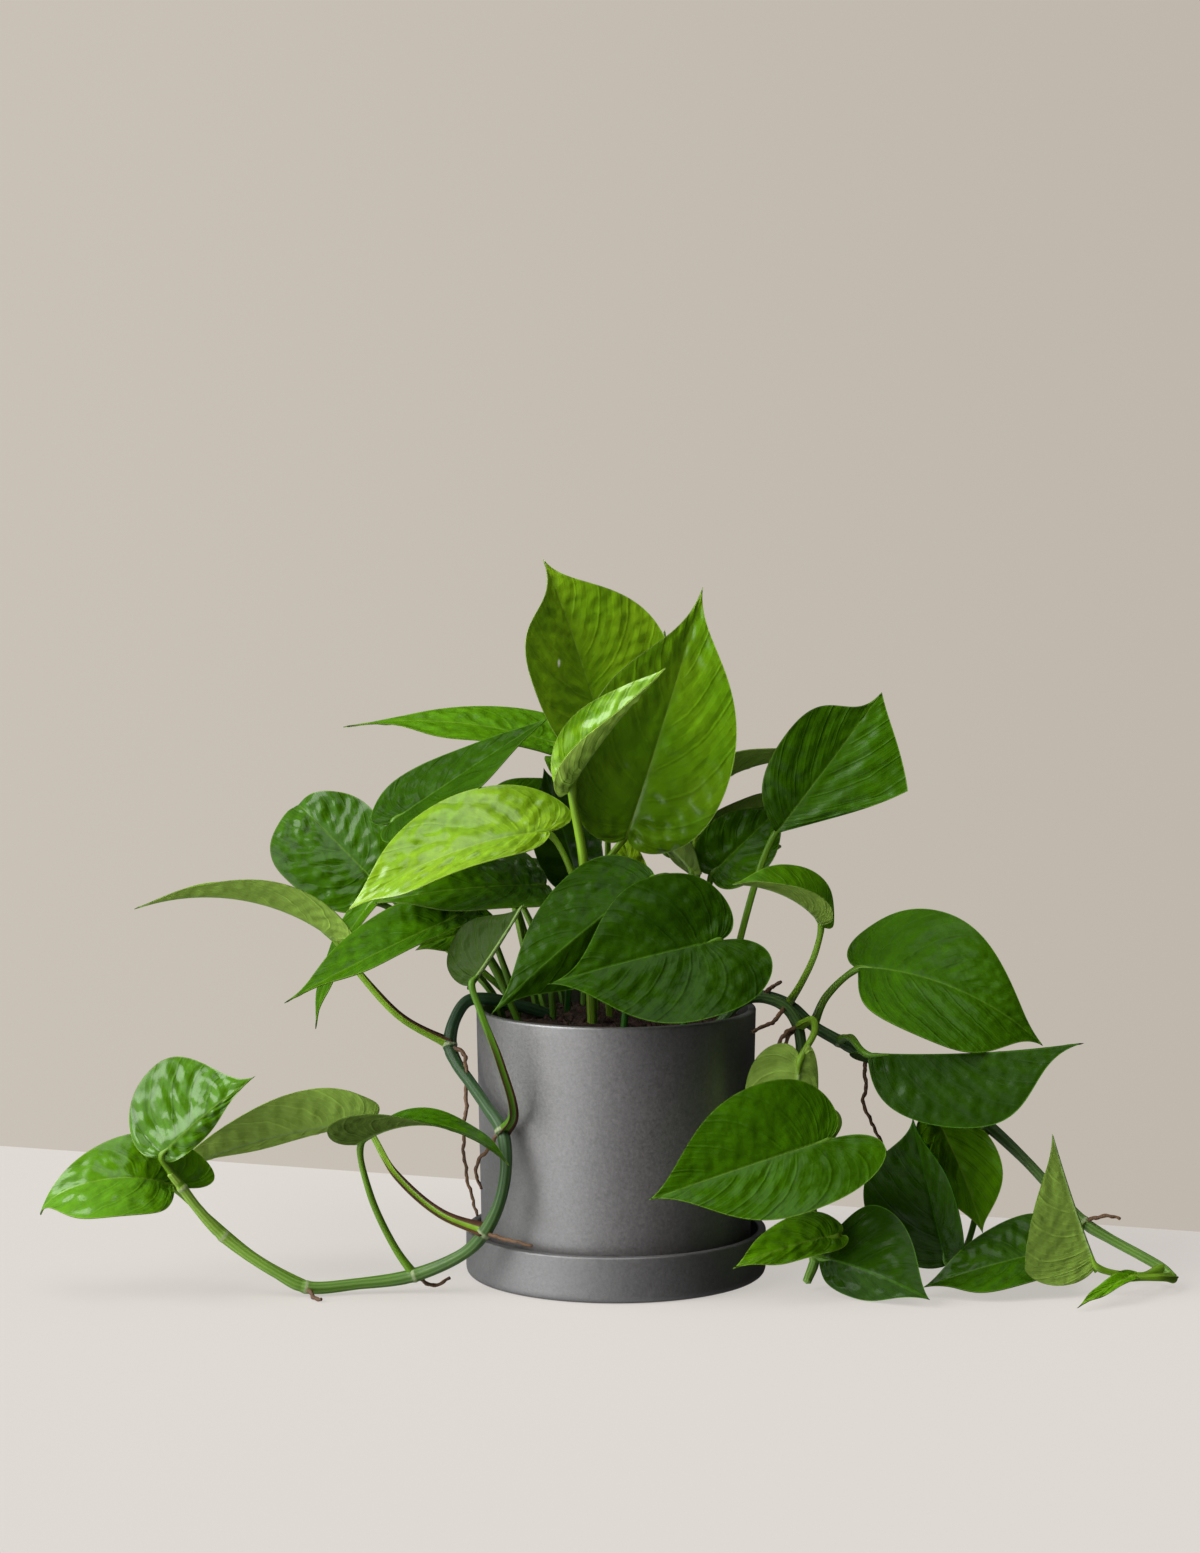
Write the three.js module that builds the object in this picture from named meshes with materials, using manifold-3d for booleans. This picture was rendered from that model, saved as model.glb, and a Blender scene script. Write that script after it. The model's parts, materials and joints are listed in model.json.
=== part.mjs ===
// A jade pothos in a stoneware pot on its saucer: glossy heart-shaped leaves on a crown of
// upright stalks, and three vines that trail over the rim and along the surface below.
// Millimetres, +Z up, -Y towards the viewer. The origin is the centre of the saucer's foot.

import * as THREE from "three";
import { mergeVertices } from "three/addons/utils/BufferGeometryUtils.js";
import Module from "manifold-3d";

const wasm = await Module();
wasm.setup();

// Driving dimensions
const CLEARANCE = 0.3; // between neighbours that touch on the real plant
const ROUND_SIDES = 44; // facets round the pot, the saucer and the soil
const SAUCER = { radius: 70, height: 21.5, wall: 3.8, floor: 4.6, edge: 4, lip: 1.2, corner: 2 };
const POT = { rimRadius: 65, footRadius: 62.5, height: 120, wall: 3.6, floor: 6, edge: 3, lip: 1.3, corner: 3 };
const SOIL = { edgeHeight: 118.6, mound: 2.2, shoulder: 0.7 };
const BLADE = { thickness: 0.8, rows: 6, columns: 3, smallHalf: 21, smallColumns: 2 };
const STALK = { radius: 1.6, sides: 4, stepsPerSpan: 2, reachUnderBlade: 0.1 };
const VINE = { sides: 6, stepsPerSpan: 2 };
const ROOT = { sides: 4, stepsPerSpan: 2 };

const POT_FOOT = SAUCER.floor + CLEARANCE;
const POT_RIM = POT_FOOT + POT.height;

const MATERIALS = {
  stoneware: new THREE.MeshStandardMaterial({ color: 0x4a4749, roughness: 0.55, metalness: 0 }),
  soil: new THREE.MeshStandardMaterial({ color: 0x2c1b14, roughness: 0.95, metalness: 0 }),
  leaf: new THREE.MeshStandardMaterial({ color: 0x2f6b16, roughness: 0.35, metalness: 0 }),
  youngLeaf: new THREE.MeshStandardMaterial({ color: 0x7db82a, roughness: 0.3, metalness: 0 }),
  vine: new THREE.MeshStandardMaterial({ color: 0x3f6a24, roughness: 0.45, metalness: 0 }),
};

// What a leaf has where its own row says nothing else. half: half widths left and right of
// the midrib, seen from the upper side with the tip ahead. lobe: how far the rounded back
// reaches behind the stalk, and broad: where the blade is widest, as shares of its length.
// corner: how far the outline is pulled to straight lines through that widest place.
// drawn: how thinly it is drawn out at the tip.
// bend: how far the midrib droops over that length, hook: how much more its end does, and
// rear: how fast the back lobes turn up behind the stalk. fold: how far each half rises from
// the midrib, gather: how much more it does by the stalk, and curl: how much more it has risen
// at its margin. Angles are in degrees.
// wave: the height of the ripples along the margin. radius: of the stalk.
const USUAL_LEAF = {
  half: [30, 30],
  lobe: 0.16,
  broad: [0.28, 0.28],
  corner: 0,
  drawn: 0,
  bend: 20,
  hook: 0,
  rear: 40,
  fold: [12, 12],
  gather: 0,
  curl: [0, 0],
  wave: 1,
  radius: STALK.radius,
};

// Each leaf: base is where its stalk meets the blade, face is the way its upper side looks,
// and stalk is the route from the soil or the vine up to the base.
const LEAVES = [
  // the crown, from the top down
  { name: "crown_leaf_1", base: [-6, 22, 250], tip: [-34, 22, 332], face: [0.5, -0.85, 0.2],
    half: [38, 42], lobe: 0.1, broad: [0.42, 0.36], drawn: [0.8, 0.2], bend: 12, fold: [20, 18],
    stalk: [[-10, 20, 104], [-9, 22, 180]] },
  { name: "crown_leaf_2", base: [5, -8, 206], tip: [40, 2, 320], face: [0.35, -0.9, 0.25],
    half: [40, 37], lobe: 0.06, broad: [0.3, 0.32], drawn: [0.7, 0.3], bend: 10, fold: [14, 14],
    stalk: [[-2, -3, 104], [-5, -6, 190]] },
  { name: "crown_leaf_3", base: [-21, -30, 231], tip: [22, -42, 285], face: [-0.6, -0.5, 0.6],
    half: [17, 26], lobe: 0.08, bend: 14, fold: [30, 30], curl: [40, 40], radius: 2.3, young: true,
    stalk: [[-10, -22, 104], [-15, -25, 194]] },
  { name: "crown_leaf_4", base: [-24, 50, 242], tip: [-129, 42, 252], face: [0, -0.3, 0.95],
    half: [32, 25], broad: [0.28, 0.12], drawn: [1, 1], bend: 30, fold: [8, 8],
    stalk: [[-16, 40, 104], [-14, 50, 190]] },
  { name: "crown_leaf_5", base: [-104, 4, 211], tip: [-31, 8, 259], face: [-0.57, -0.54, 0.61],
    half: [19, 27], lobe: 0.1, broad: [0.15, 0.2], bend: 2,
    stalk: [[-40, 16, 104], [-50, 16, 130], [-86, 10, 186]] },
  { name: "crown_leaf_6", base: [-31, -22, 209], tip: [-122, -48, 175], face: [-0.1, -0.6, 0.75],
    half: [15, 30], lobe: [0, 0.16], broad: [0.45, 0.28], bend: 45, fold: [4, 12], young: true,
    stalk: [[-10, -15, 104], [-18, -20, 182]] },
  { name: "crown_leaf_7", base: [-114, 30, 180], tip: [-151, 58, 212], face: [-0.2, -0.85, 0.45],
    half: [30, 23], broad: [0.5, 0.42], bend: 10, hook: 100,
    stalk: [[-44, 28, 104], [-50, 28, 124], [-64, 28, 138], [-96, 30, 163]] },
  { name: "crown_leaf_8", base: [-72, -20, 170], tip: [-150, -50, 134], face: [-0.3, -0.5, 0.8],
    half: [14, 22], lobe: 0.1, drawn: [0.4, 0.5], bend: 8, stalk: [[-38, -15, 104], [-58, -16, 148]] },
  { name: "crown_leaf_9", base: [-114, 16, 172], tip: [-141, 14, 112], face: [-0.8, -0.5, 0.3],
    half: [10, 8], bend: 40, stalk: [[-50, 6, 104], [-58, 7, 130], [-98, 14, 164]] },
  { name: "crown_leaf_10", base: [-33, -4, 182], tip: [-111, -24, 176], face: [0, -0.5, 0.85],
    half: [26, 26], lobe: 0.03, bend: 16, stalk: [[-28, -1, 104], [-32, -2, 160]] },
  { name: "crown_leaf_11", base: [17, -38, 190], tip: [-57, -62, 130], face: [-0.3, -0.8, 0.5],
    half: [27, 26], lobe: [0.1, 0.02], drawn: [0.5, 0.5], bend: 16, fold: [-55, 8],
    stalk: [[2, -32, 104], [8, -32, 160]] },
  { name: "crown_leaf_12", base: [47, -52, 163], tip: [-31, -74, 146], face: [0, -0.9, 0.4],
    half: [36, 35], lobe: [0.24, 0.12], drawn: [0.2, 1], bend: 20, fold: [6, 6],
    stalk: [[22, -38, 104], [36, -44, 135]] },
  { name: "crown_leaf_13", base: [42, 25, 224], tip: [101, 30, 236], face: [0.1, 0.3, 0.95],
    half: [20, 20], bend: 50, stalk: [[28, 26, 104], [34, 26, 170]] },
  { name: "crown_leaf_14", base: [40, 44, 192], tip: [85, 50, 221], face: [-0.5, 0.4, 0.8],
    half: [20, 20], bend: 20, stalk: [[24, 44, 104], [32, 46, 160]] },
  { name: "crown_leaf_15", base: [74, 5, 205], tip: [123, 5, 271], face: [0.2, -0.9, 0.3],
    half: [25, 37], lobe: [-0.03, 0], broad: [0.5, 0.64], corner: [0, 0.9], drawn: [0.6, 0], bend: 14,
    stalk: [[46, -4, 104], [56, 0, 150], [68, 5, 192]] },
  { name: "crown_leaf_16", base: [45, 12, 186], tip: [80, 36, 216], face: [0.1, -0.8, 0.5],
    half: [17, 18], lobe: 0.08, bend: 16, stalk: [[36, 18, 104], [41, 14, 150]] },
  { name: "crown_leaf_17", base: [36, 6, 187], tip: [13, 24, 206], face: [0.3, 0.6, 0.7],
    half: [14, 14], bend: 20, stalk: [[18, 2, 104], [32, 4, 150]] },
  { name: "crown_leaf_18", base: [7, -5, 180], tip: [3, 8, 206], face: [0.3, -0.8, 0.4],
    half: [9, 9], bend: 10, young: true, stalk: [[8, 8, 104], [8, 2, 150]] },
  { name: "crown_leaf_19", base: [-60, 8, 161], tip: [-93, -6, 152], face: [0, -0.7, 0.7],
    half: [13, 13], bend: 20, stalk: [[-41, 11, 104], [-51, 11, 138]] },
  { name: "crown_leaf_20", base: [-19, 14, 186], tip: [-34, 26, 234], face: [0, -0.9, 0.3],
    half: [16, 16], bend: 12, stalk: [[-24, 14, 104], [-21, 14, 150]] },
  { name: "crown_leaf_21", base: [-58, 38, 208], tip: [-24, 38, 227], face: [0, -0.6, 0.7],
    half: [14, 14], bend: 20, stalk: [[-34, 26, 104], [-46, 36, 160]] },
  // the left vine's leaves, from the rim outwards
  { name: "left_vine_leaf_1", base: [-128, -3, 155], tip: [-222, -12, 172], face: [0.15, -0.1, 1],
    half: [21, 14], lobe: 0.08, drawn: [0.5, 0.5], bend: 60, rear: 200, fold: [42, 32], vine: "left_vine",
    stalk: [[-77, -9, 108], [-100, -8, 121], [-119, -4, 141]] },
  { name: "left_vine_leaf_2", base: [-65, -50, 143], tip: [-42, -50, 179], face: [0.5, 0.6, 0.2],
    half: [9, 23], lobe: 0.1, drawn: [0.5, 0.5], bend: 16, fold: [120, 10], vine: "left_vine",
    stalk: [[-52, -47, 75], [-47, -54, 84], [-53, -58, 109], [-61, -55, 130]] },
  { name: "left_vine_leaf_3", base: [-117, -20, 74], tip: [-212, -14, 46], face: [0, 0.45, 0.9],
    half: [26, 24], lobe: [0.11, 0.06], broad: [0.16, 0.3], rear: 100, bend: 24, fold: [22, 10],
    vine: "left_vine", stalk: [[-60, -57, 30], [-80, -50, 37], [-101, -34, 52]] },
  { name: "left_vine_leaf_4", base: [-116, -54, 71], tip: [-48, -68, 63], face: [0, -0.02, 1],
    half: [20, 30], lobe: [0.06, 0.12], gather: [0, 60], broad: [0.28, 0.24], bend: 84, rear: 60, fold: [8, 8],
    vine: "left_vine", stalk: [[-92, -47, 8.5], [-101, -48, 22], [-112, -52, 48]] },
  { name: "left_vine_leaf_5", base: [-205, -64, 67], tip: [-162, -64, 103], face: [-0.3, -0.8, 0.5],
    half: [34, 8], lobe: [0.14, 0.02], broad: [0.4, 0.2], drawn: [0.6, 0.6], bend: 16, fold: [8, -40],
    young: true,
    vine: "left_vine", stalk: [[-196, -58, 51], [-201, -60, 59]] },
  { name: "left_vine_leaf_6", base: [-202, -46, 50], tip: [-262, -46, 36], face: [-0.1, -0.7, 0.7],
    half: [25, 23], lobe: [0, 0.3], broad: [0.36, 0.14], drawn: [0.6, 0.6], bend: 100, hook: 20,
    vine: "left_vine",
    stalk: [[-141, -53, 4.4], [-166, -44, 17], [-190, -44, 38]] },
  // the right vine's leaves, from the rim outwards
  { name: "right_vine_leaf_1", base: [95, -15, 165], tip: [53, -25, 185], face: [0.2, -0.5, 0.85],
    half: [14, 25], lobe: [0, 0.16], broad: [0.28, 0.2], bend: 60, fold: [60, 10], vine: "right_vine",
    stalk: [[80, 4, 125], [86, -6, 137], [92, -13, 152]] },
  { name: "right_vine_leaf_2", base: [112, -5, 144], tip: [196, -22, 110], face: [0.3, -0.7, 0.7],
    half: [40, 36], lobe: [0.1, -0.02], drawn: [0.4, 0], broad: [0.28, 0.46], bend: 60, fold: [4, 0],
    vine: "right_vine",
    stalk: [[92, 4, 115], [98, -2, 130]] },
  { name: "right_vine_leaf_3", base: [115, -30, 108], tip: [211, -52, 116], face: [0, -0.3, 0.95],
    half: [20, 34], lobe: [0.1, 0], broad: [0.3, 0.42], drawn: [0.4, 0.6], bend: -12, fold: [-40, -60],
    vine: "right_vine",
    stalk: [[104, 4, 108], [108, -12, 112]] },
  { name: "right_vine_leaf_4", base: [95, -62, 74], tip: [14, -90, 52], face: [0, -0.9, 0.3],
    half: [29, 33], lobe: [0.27, 0.1], drawn: [0.3, 0], bend: 14, fold: [8, 8], vine: "hanging_vine",
    stalk: [[87, -18, 78], [98, -34, 82], [100, -52, 78]] },
  { name: "right_vine_leaf_5", base: [83, -46, 107], tip: [78, -53, 42], face: [0, 0.95, 0.1],
    half: [24, 10], lobe: 0.12, bend: 10, vine: "hanging_vine",
    stalk: [[84, -10, 117], [90, -22, 122], [90, -36, 118]] },
  { name: "right_vine_leaf_6", base: [69, -20, 97], tip: [70, -28, 48], face: [0.77, -0.64, 0],
    half: [8, 20], bend: -10, vine: "hanging_vine", stalk: [[86, -14, 98], [78, -15, 101]] },
  { name: "right_vine_leaf_7", base: [100, -54, 28.6], tip: [52, -72, 17], face: [-0.1, -0.6, 0.8],
    half: [8, 15], lobe: 0.1, bend: 24, fold: [-30, 10], vine: "hanging_vine",
    stalk: [[90, -30, 31], [98, -42, 32]] },
  { name: "right_vine_leaf_8", base: [93, -47, 17], tip: [140, -77, 4], face: [0, -0.7, 0.6],
    half: [31, 14], lobe: 0.02, bend: 30, fold: [8, -45], vine: "hanging_vine",
    stalk: [[91, -36, 14], [92, -42, 17]] },
  { name: "right_vine_leaf_9", base: [152, -27, 9], tip: [135, -38, 79], face: [-0.3, -0.9, 0.2],
    half: [30, 17], lobe: [0.02, 0], broad: [0.48, 0.36], bend: 10, fold: [10, 35], vine: "right_vine",
    stalk: [[172, -2, 70], [168, -12, 34], [160, -20, 12]] },
  { name: "right_vine_leaf_10", base: [147, -16, 77], tip: [169, -24, 23], face: [0.3, -0.9, 0.2],
    half: [19, 17], lobe: [-0.04, 0.04], broad: [0.46, 0.3], bend: 30, vine: "right_vine",
    stalk: [[158, 0, 79], [150, -12, 81]] },
  { name: "right_vine_leaf_11", base: [202, -32, 17], tip: [139, -56, 5], face: [0, -0.5, 0.85],
    half: [22, 22], broad: [0.45, 0.12], bend: 10, vine: "right_vine",
    stalk: [[216, -19, 27], [209, -27, 22]] },
  { name: "right_vine_leaf_12", base: [217, -54, 14], tip: [196, -60, 76], face: [-0.48, 0.9, -0.12],
    half: [6, 32], lobe: [0.06, 0.16], broad: [0.28, 0.18], corner: [0, 0.5], drawn: [1, 1], bend: 10,
    fold: [90, 12],
    vine: "right_vine", stalk: [[251, -31, 8], [239, -46, 8]] },
  { name: "right_vine_leaf_13", base: [233, -56, 10], tip: [205, -84, 2], face: [0, -0.5, 0.8],
    half: [4, 4], bend: 20, young: true, vine: "right_vine", stalk: [[255, -36, 4.5], [247, -50, 8]] },
  // leaves that fill the crown at the back
  { name: "back_leaf_1", base: [-60, 60, 200], tip: [-120, 100, 205], face: [-0.3, 0.3, 0.9],
    half: [30, 30], bend: 40, stalk: [[-30, 34, 104], [-46, 52, 160]] },
  { name: "back_leaf_2", base: [-4, 70, 215], tip: [-18, 140, 225], face: [0, 0.2, 1],
    half: [28, 30], bend: 45, stalk: [[-5, 46, 104], [-4, 60, 160]] },
  { name: "back_leaf_3", base: [42, 70, 186], tip: [76, 122, 178], face: [0.3, 0.4, 0.85],
    half: [28, 28], bend: 40, stalk: [[14, 46, 104], [32, 62, 150]] },
  { name: "back_leaf_4", base: [10, 56, 238], tip: [24, 84, 296], face: [0.1, 0.9, 0.3],
    half: [24, 24], bend: 30, stalk: [[2, 30, 104], [8, 48, 200]] },
  { name: "back_leaf_5", base: [10, 92, 160], tip: [30, 150, 120], face: [0.1, 0.8, 0.5],
    half: [32, 32], bend: 30, stalk: [[8, 50, 104], [8, 53, 124], [9, 70, 142]] },
  { name: "back_leaf_6", base: [-52, 74, 176], tip: [-88, 122, 166], face: [-0.4, 0.5, 0.75],
    half: [26, 26], bend: 36, stalk: [[-24, 48, 104], [-26, 51, 124], [-38, 62, 150]] },
];

// Each vine: path is its centre line with the radius at each point, roots are the thin
// aerial roots that grow from its nodes, each a list of points that starts inside the vine.
const VINES = [
  { name: "left_vine",
    path: [[-14, 8, 106, 2.8], [-30, 6, 119, 2.8], [-46, 3, 125, 2.8], [-60, 0, 128.5, 2.8],
      [-69, -1, 127.5, 2.8], [-75, -5, 119, 2.8], [-77, -9, 108, 3.3], [-74, -14, 101, 2.8],
      [-67, -24, 93, 2.7], [-59, -37, 84, 2.7], [-52, -47, 75, 3.2], [-50, -54, 60, 2.7],
      [-53, -58, 44, 2.7], [-60, -57, 30, 3.2], [-69, -53, 20, 2.7], [-92, -47, 8.5, 3.2],
      [-117, -48, 4.8, 2.6], [-141, -53, 4.4, 2.9], [-154, -54, 11, 2.4], [-178, -54, 28, 2.7],
      [-190, -56, 42, 2.2], [-196, -58, 51, 2.3], [-201, -60, 58, 1.8]],
    roots: [
      [[-77, -9, 108, 1], [-70, -17, 105, 1], [-69, -21, 98, 0.9], [-69, -27, 83, 0.9],
        [-70, -32, 67, 0.8], [-68, -41, 52, 0.8], [-63, -52, 37, 0.7]],
      [[-52, -47, 75, 1], [-58, -51, 68, 0.9], [-64, -51, 57, 0.8], [-61, -51, 49, 0.7]],
      [[-60, -57, 30, 1], [-50, -65, 29, 0.9], [-38, -70, 27, 0.7]],
      [[-92, -47, 8.5, 1], [-84, -43, 3, 0.9], [-76, -42, 6, 0.7]],
      [[-141, -53, 4.4, 1.1], [-137, -60, 1.6, 1], [-133, -65, 1.4, 0.8]],
    ] },
  { name: "right_vine",
    path: [[24, 14, 106, 2.6], [40, 12, 120, 2.6], [56, 9, 127, 2.6], [68, 6, 129, 2.6],
      [80, 4, 125, 3.1], [92, 4, 115, 2.6], [104, 4, 108, 2.8], [120, 4, 99, 2.5], [146, 2, 86, 2.5],
      [158, 0, 79, 2.5], [172, -2, 70, 3], [190, -8, 54, 2.4], [206, -15, 37, 2.4], [216, -19, 27, 2.9],
      [228, -23, 20, 2.3], [242, -28, 13, 2.3], [251, -31, 8, 2.3], [255, -36, 4.5, 2.3]],
    roots: [
      [[68, 6, 129, 1.2], [72, 2, 133, 1], [77, -1, 137, 0.8]],
      [[116, 4, 101, 1], [116, -3, 88, 0.9], [115, -7, 80, 0.9], [120, -10, 69, 0.8], [126, -15, 56, 0.7]],
      [[216, -19, 27, 1], [224, -24, 31, 0.9], [232, -26, 30, 0.7]],
    ] },
  { name: "hanging_vine",
    path: [[36, -20, 106, 2.4], [48, -17, 120, 2.4], [58, -12, 129, 2.4], [68, -8, 130, 2.4],
      [78, -8, 126, 2.6], [84, -10, 117, 2.6], [86, -14, 98, 2.5], [87, -18, 78, 2.5], [88, -24, 54, 2.3],
      [90, -30, 31, 2.5], [91, -36, 14, 2.6], [87, -41, 4, 2]],
    roots: [
      [[84, -10, 117, 1.1], [77, -17, 114, 1], [72, -21, 105, 0.8]],
      [[78, -8, 126, 1.1], [72, -22, 121, 1], [62, -31, 118, 0.8]],
      [[84, -10, 117, 1.1], [78, -15, 110, 0.9], [81, -20, 103, 0.7]],
    ] },
];

// Solids

// A closed geometry as a solid, with its shared vertices merged and slivers of no area gone.
function solidOf(geometry) {
  const bare = geometry.clone();
  bare.deleteAttribute("normal");
  bare.deleteAttribute("uv");
  const merged = mergeVertices(bare, 1e-4);
  const corners = [...merged.index.array];
  const kept = [];
  for (let i = 0; i < corners.length; i += 3) {
    const [a, b, c] = corners.slice(i, i + 3);
    if (a !== b && b !== c && c !== a) kept.push(a, b, c);
  }
  const vertProperties = merged.attributes.position.array;
  return new wasm.Manifold(new wasm.Mesh({ numProp: 3, vertProperties, triVerts: new Uint32Array(kept) }));
}

// Points and triangles as a solid.
function solidFrom(points, triangles) {
  const geometry = new THREE.BufferGeometry().setFromPoints(points);
  geometry.setIndex(triangles.flat());
  return solidOf(geometry);
}

function meshOf(name, solid, material) {
  const { vertProperties, triVerts } = solid.getMesh();
  const geometry = new THREE.BufferGeometry();
  geometry.setAttribute("position", new THREE.BufferAttribute(vertProperties, 3));
  geometry.setIndex(new THREE.BufferAttribute(triVerts, 1));
  geometry.computeVertexNormals();
  const mesh = new THREE.Mesh(geometry, material);
  mesh.name = name;
  return mesh;
}

// A profile of [radius, height] pairs turned about the upright axis.
function turned(profile) {
  const outline = profile.map(([radius, height]) => new THREE.Vector2(radius, height));
  return solidOf(new THREE.LatheGeometry(outline, ROUND_SIDES).rotateX(Math.PI / 2));
}

// A round tube through points of [x, y, z, radius], closed by a flat cap at each end.
function tube(points, sides, stepsPerSpan) {
  const curve = new THREE.CatmullRomCurve3(
    points.map(([x, y, z]) => new THREE.Vector3(x, y, z)), false, "centripetal");
  const steps = (points.length - 1) * stepsPerSpan;
  const centres = Array.from({ length: steps + 1 }, (_, i) => curve.getPoint(i / steps));
  const vertices = [];
  const triangles = [];
  const across = new THREE.Vector3(0.31, 0.87, 0.38);
  centres.forEach((centre, i) => {
    const along = centres[Math.min(i + 1, steps)].clone().sub(centres[Math.max(i - 1, 0)]).normalize();
    across.addScaledVector(along, -across.dot(along)).normalize();
    const other = along.clone().cross(across);
    const span = Math.min(Math.floor(i / stepsPerSpan), points.length - 2);
    const radius = THREE.MathUtils.lerp(points[span][3], points[span + 1][3], i / stepsPerSpan - span);
    for (let j = 0; j < sides; j++) {
      const turn = (2 * Math.PI * j) / sides;
      vertices.push(centre.clone()
        .addScaledVector(across, radius * Math.cos(turn))
        .addScaledVector(other, radius * Math.sin(turn)));
    }
  });
  for (let i = 0; i < steps; i++) {
    for (let j = 0; j < sides; j++) {
      const a = i * sides + j;
      const b = i * sides + ((j + 1) % sides);
      triangles.push([a, b, b + sides], [a, b + sides, a + sides]);
    }
  }
  for (let j = 1; j < sides - 1; j++) {
    triangles.push([0, j + 1, j]);
    const end = steps * sides;
    triangles.push([end, end + j, end + j + 1]);
  }
  return solidFrom(vertices, triangles);
}

// Leaves

const cubic = (t, a, b, c, d) =>
  (1 - t) ** 3 * a + 3 * (1 - t) ** 2 * t * b + 3 * (1 - t) * t ** 2 * c + t ** 3 * d;

// Half of a heart-shaped outline: s runs from the stalk round the back lobe to the tip. Gives
// the place along the blade as a share of its length, and across it as a share of its half width.
function outline(s, lobe, broad, corner, drawn) {
  const t = s < 0.5 ? 2 * s : 2 * s - 1;
  const round = s < 0.5
    ? [cubic(t, 0, -1.6 * lobe, -1.3 * lobe, broad), cubic(t, 0, 0.05, 1, 1)]
    : [cubic(t, broad, broad + 0.38, 0.8 - 0.12 * drawn, 1), cubic(t, 1, 1, 0.16 * (1 - drawn), 0)];
  const straight = s < 0.5 ? [broad * t, t] : [broad + (1 - broad) * t, 1 - t];
  return round.map((place, k) => place + corner * (straight[k] - place));
}

const SPINE_STEPS = 40; // stations along the midrib
const SPINE_BEHIND = 14; // stations that carry its curve on behind the stalk, for the lobes
const HOOK_FROM = 0.65; // where the hooked end begins
const VEIN_SWEEP = 2.4; // how far ahead of the midrib a side vein meets the margin
const RIPPLES = 2.5; // waves along each margin

// The midrib's curve: for a place x along the blade, the point on the midrib and the
// directions along it, to its left and out of the upper side.
function spineOf(leaf) {
  const { degToRad, clamp } = THREE.MathUtils;
  const droop = (x) => degToRad(x < 0 ? leaf.rear : -leaf.bend) * x
    - degToRad(leaf.hook) * clamp((x - HOOK_FROM) / (1 - HOOK_FROM), 0, 1) ** 2;
  const along = (x) => new THREE.Vector3(Math.cos(droop(x)), 0, Math.sin(droop(x)));
  const stations = [new THREE.Vector3()];
  for (let i = 1 - SPINE_BEHIND; i <= SPINE_STEPS; i++) {
    stations.push(stations.at(-1).clone().addScaledVector(along((i - 0.5) / SPINE_STEPS), 1 / SPINE_STEPS));
  }
  const start = stations[SPINE_BEHIND].clone();
  stations.forEach((station) => station.sub(start));
  const end = stations.at(-1).clone();
  // the curve's own frame, in which the tip lies straight ahead
  const ahead = end.clone().normalize();
  const above = new THREE.Vector3(-ahead.z, 0, ahead.x);
  // the leaf's frame on the plant
  const base = new THREE.Vector3(...leaf.base);
  const reach = new THREE.Vector3(...leaf.tip).sub(base);
  const length = reach.length() / end.length();
  const u = reach.clone().normalize();
  const n = new THREE.Vector3(...leaf.face);
  n.addScaledVector(u, -n.dot(u)).normalize();
  const b = n.clone().cross(u);
  const placed = (v) => new THREE.Vector3()
    .addScaledVector(u, v.dot(ahead)).addScaledVector(n, v.dot(above));
  return (x) => {
    const place = clamp(x * SPINE_STEPS + SPINE_BEHIND, 0, stations.length - 1.001);
    const k = Math.floor(place);
    const point = placed(stations[k].clone().lerp(stations[k + 1], place - k)).multiplyScalar(length).add(base);
    return { point, left: b, out: placed(new THREE.Vector3(-Math.sin(droop(x)), 0, Math.cos(droop(x)))) };
  };
}

// A point of the blade: s runs from the stalk to the tip, t from the left margin, -1, to the
// right one, 1, and lift is the height above the blade's middle layer.
function bladePoint(leaf, spine, s, t, lift) {
  const side = t < 0 ? 0 : 1;
  const sign = t < 0 ? 1 : -1;
  const of = (value) => value[side] ?? value;
  const form = [leaf.lobe, leaf.broad, leaf.corner, leaf.drawn];
  const [edgeAlong, edgeAcross] = outline(s, ...form.map(of));
  const vein = s ** VEIN_SWEEP;
  const alongBlade = vein + (edgeAlong - vein) * Math.abs(t);
  const across = edgeAcross * Math.abs(t) * leaf.half[side];
  const fold = THREE.MathUtils.degToRad(leaf.fold[side] + of(leaf.gather) * (1 - s) ** 2);
  const curl = THREE.MathUtils.degToRad(leaf.curl[side]);
  const perMm = (Math.abs(curl) < 1e-4 ? 1e-4 : curl) / leaf.half[side];
  const angle = fold + perMm * across;
  const reach = (Math.sin(angle) - Math.sin(fold)) / perMm;
  const ripple = Math.sin(2 * Math.PI * (RIPPLES * s + 0.2 * side)) * Math.abs(t) ** 3 * Math.sin(Math.PI * s);
  const rise = (Math.cos(fold) - Math.cos(angle)) / perMm + leaf.wave * ripple;
  const { point, left, out } = spine(alongBlade);
  return point
    .addScaledVector(left, sign * (reach - Math.sin(angle) * lift))
    .addScaledVector(out, rise + Math.cos(angle) * lift);
}

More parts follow.
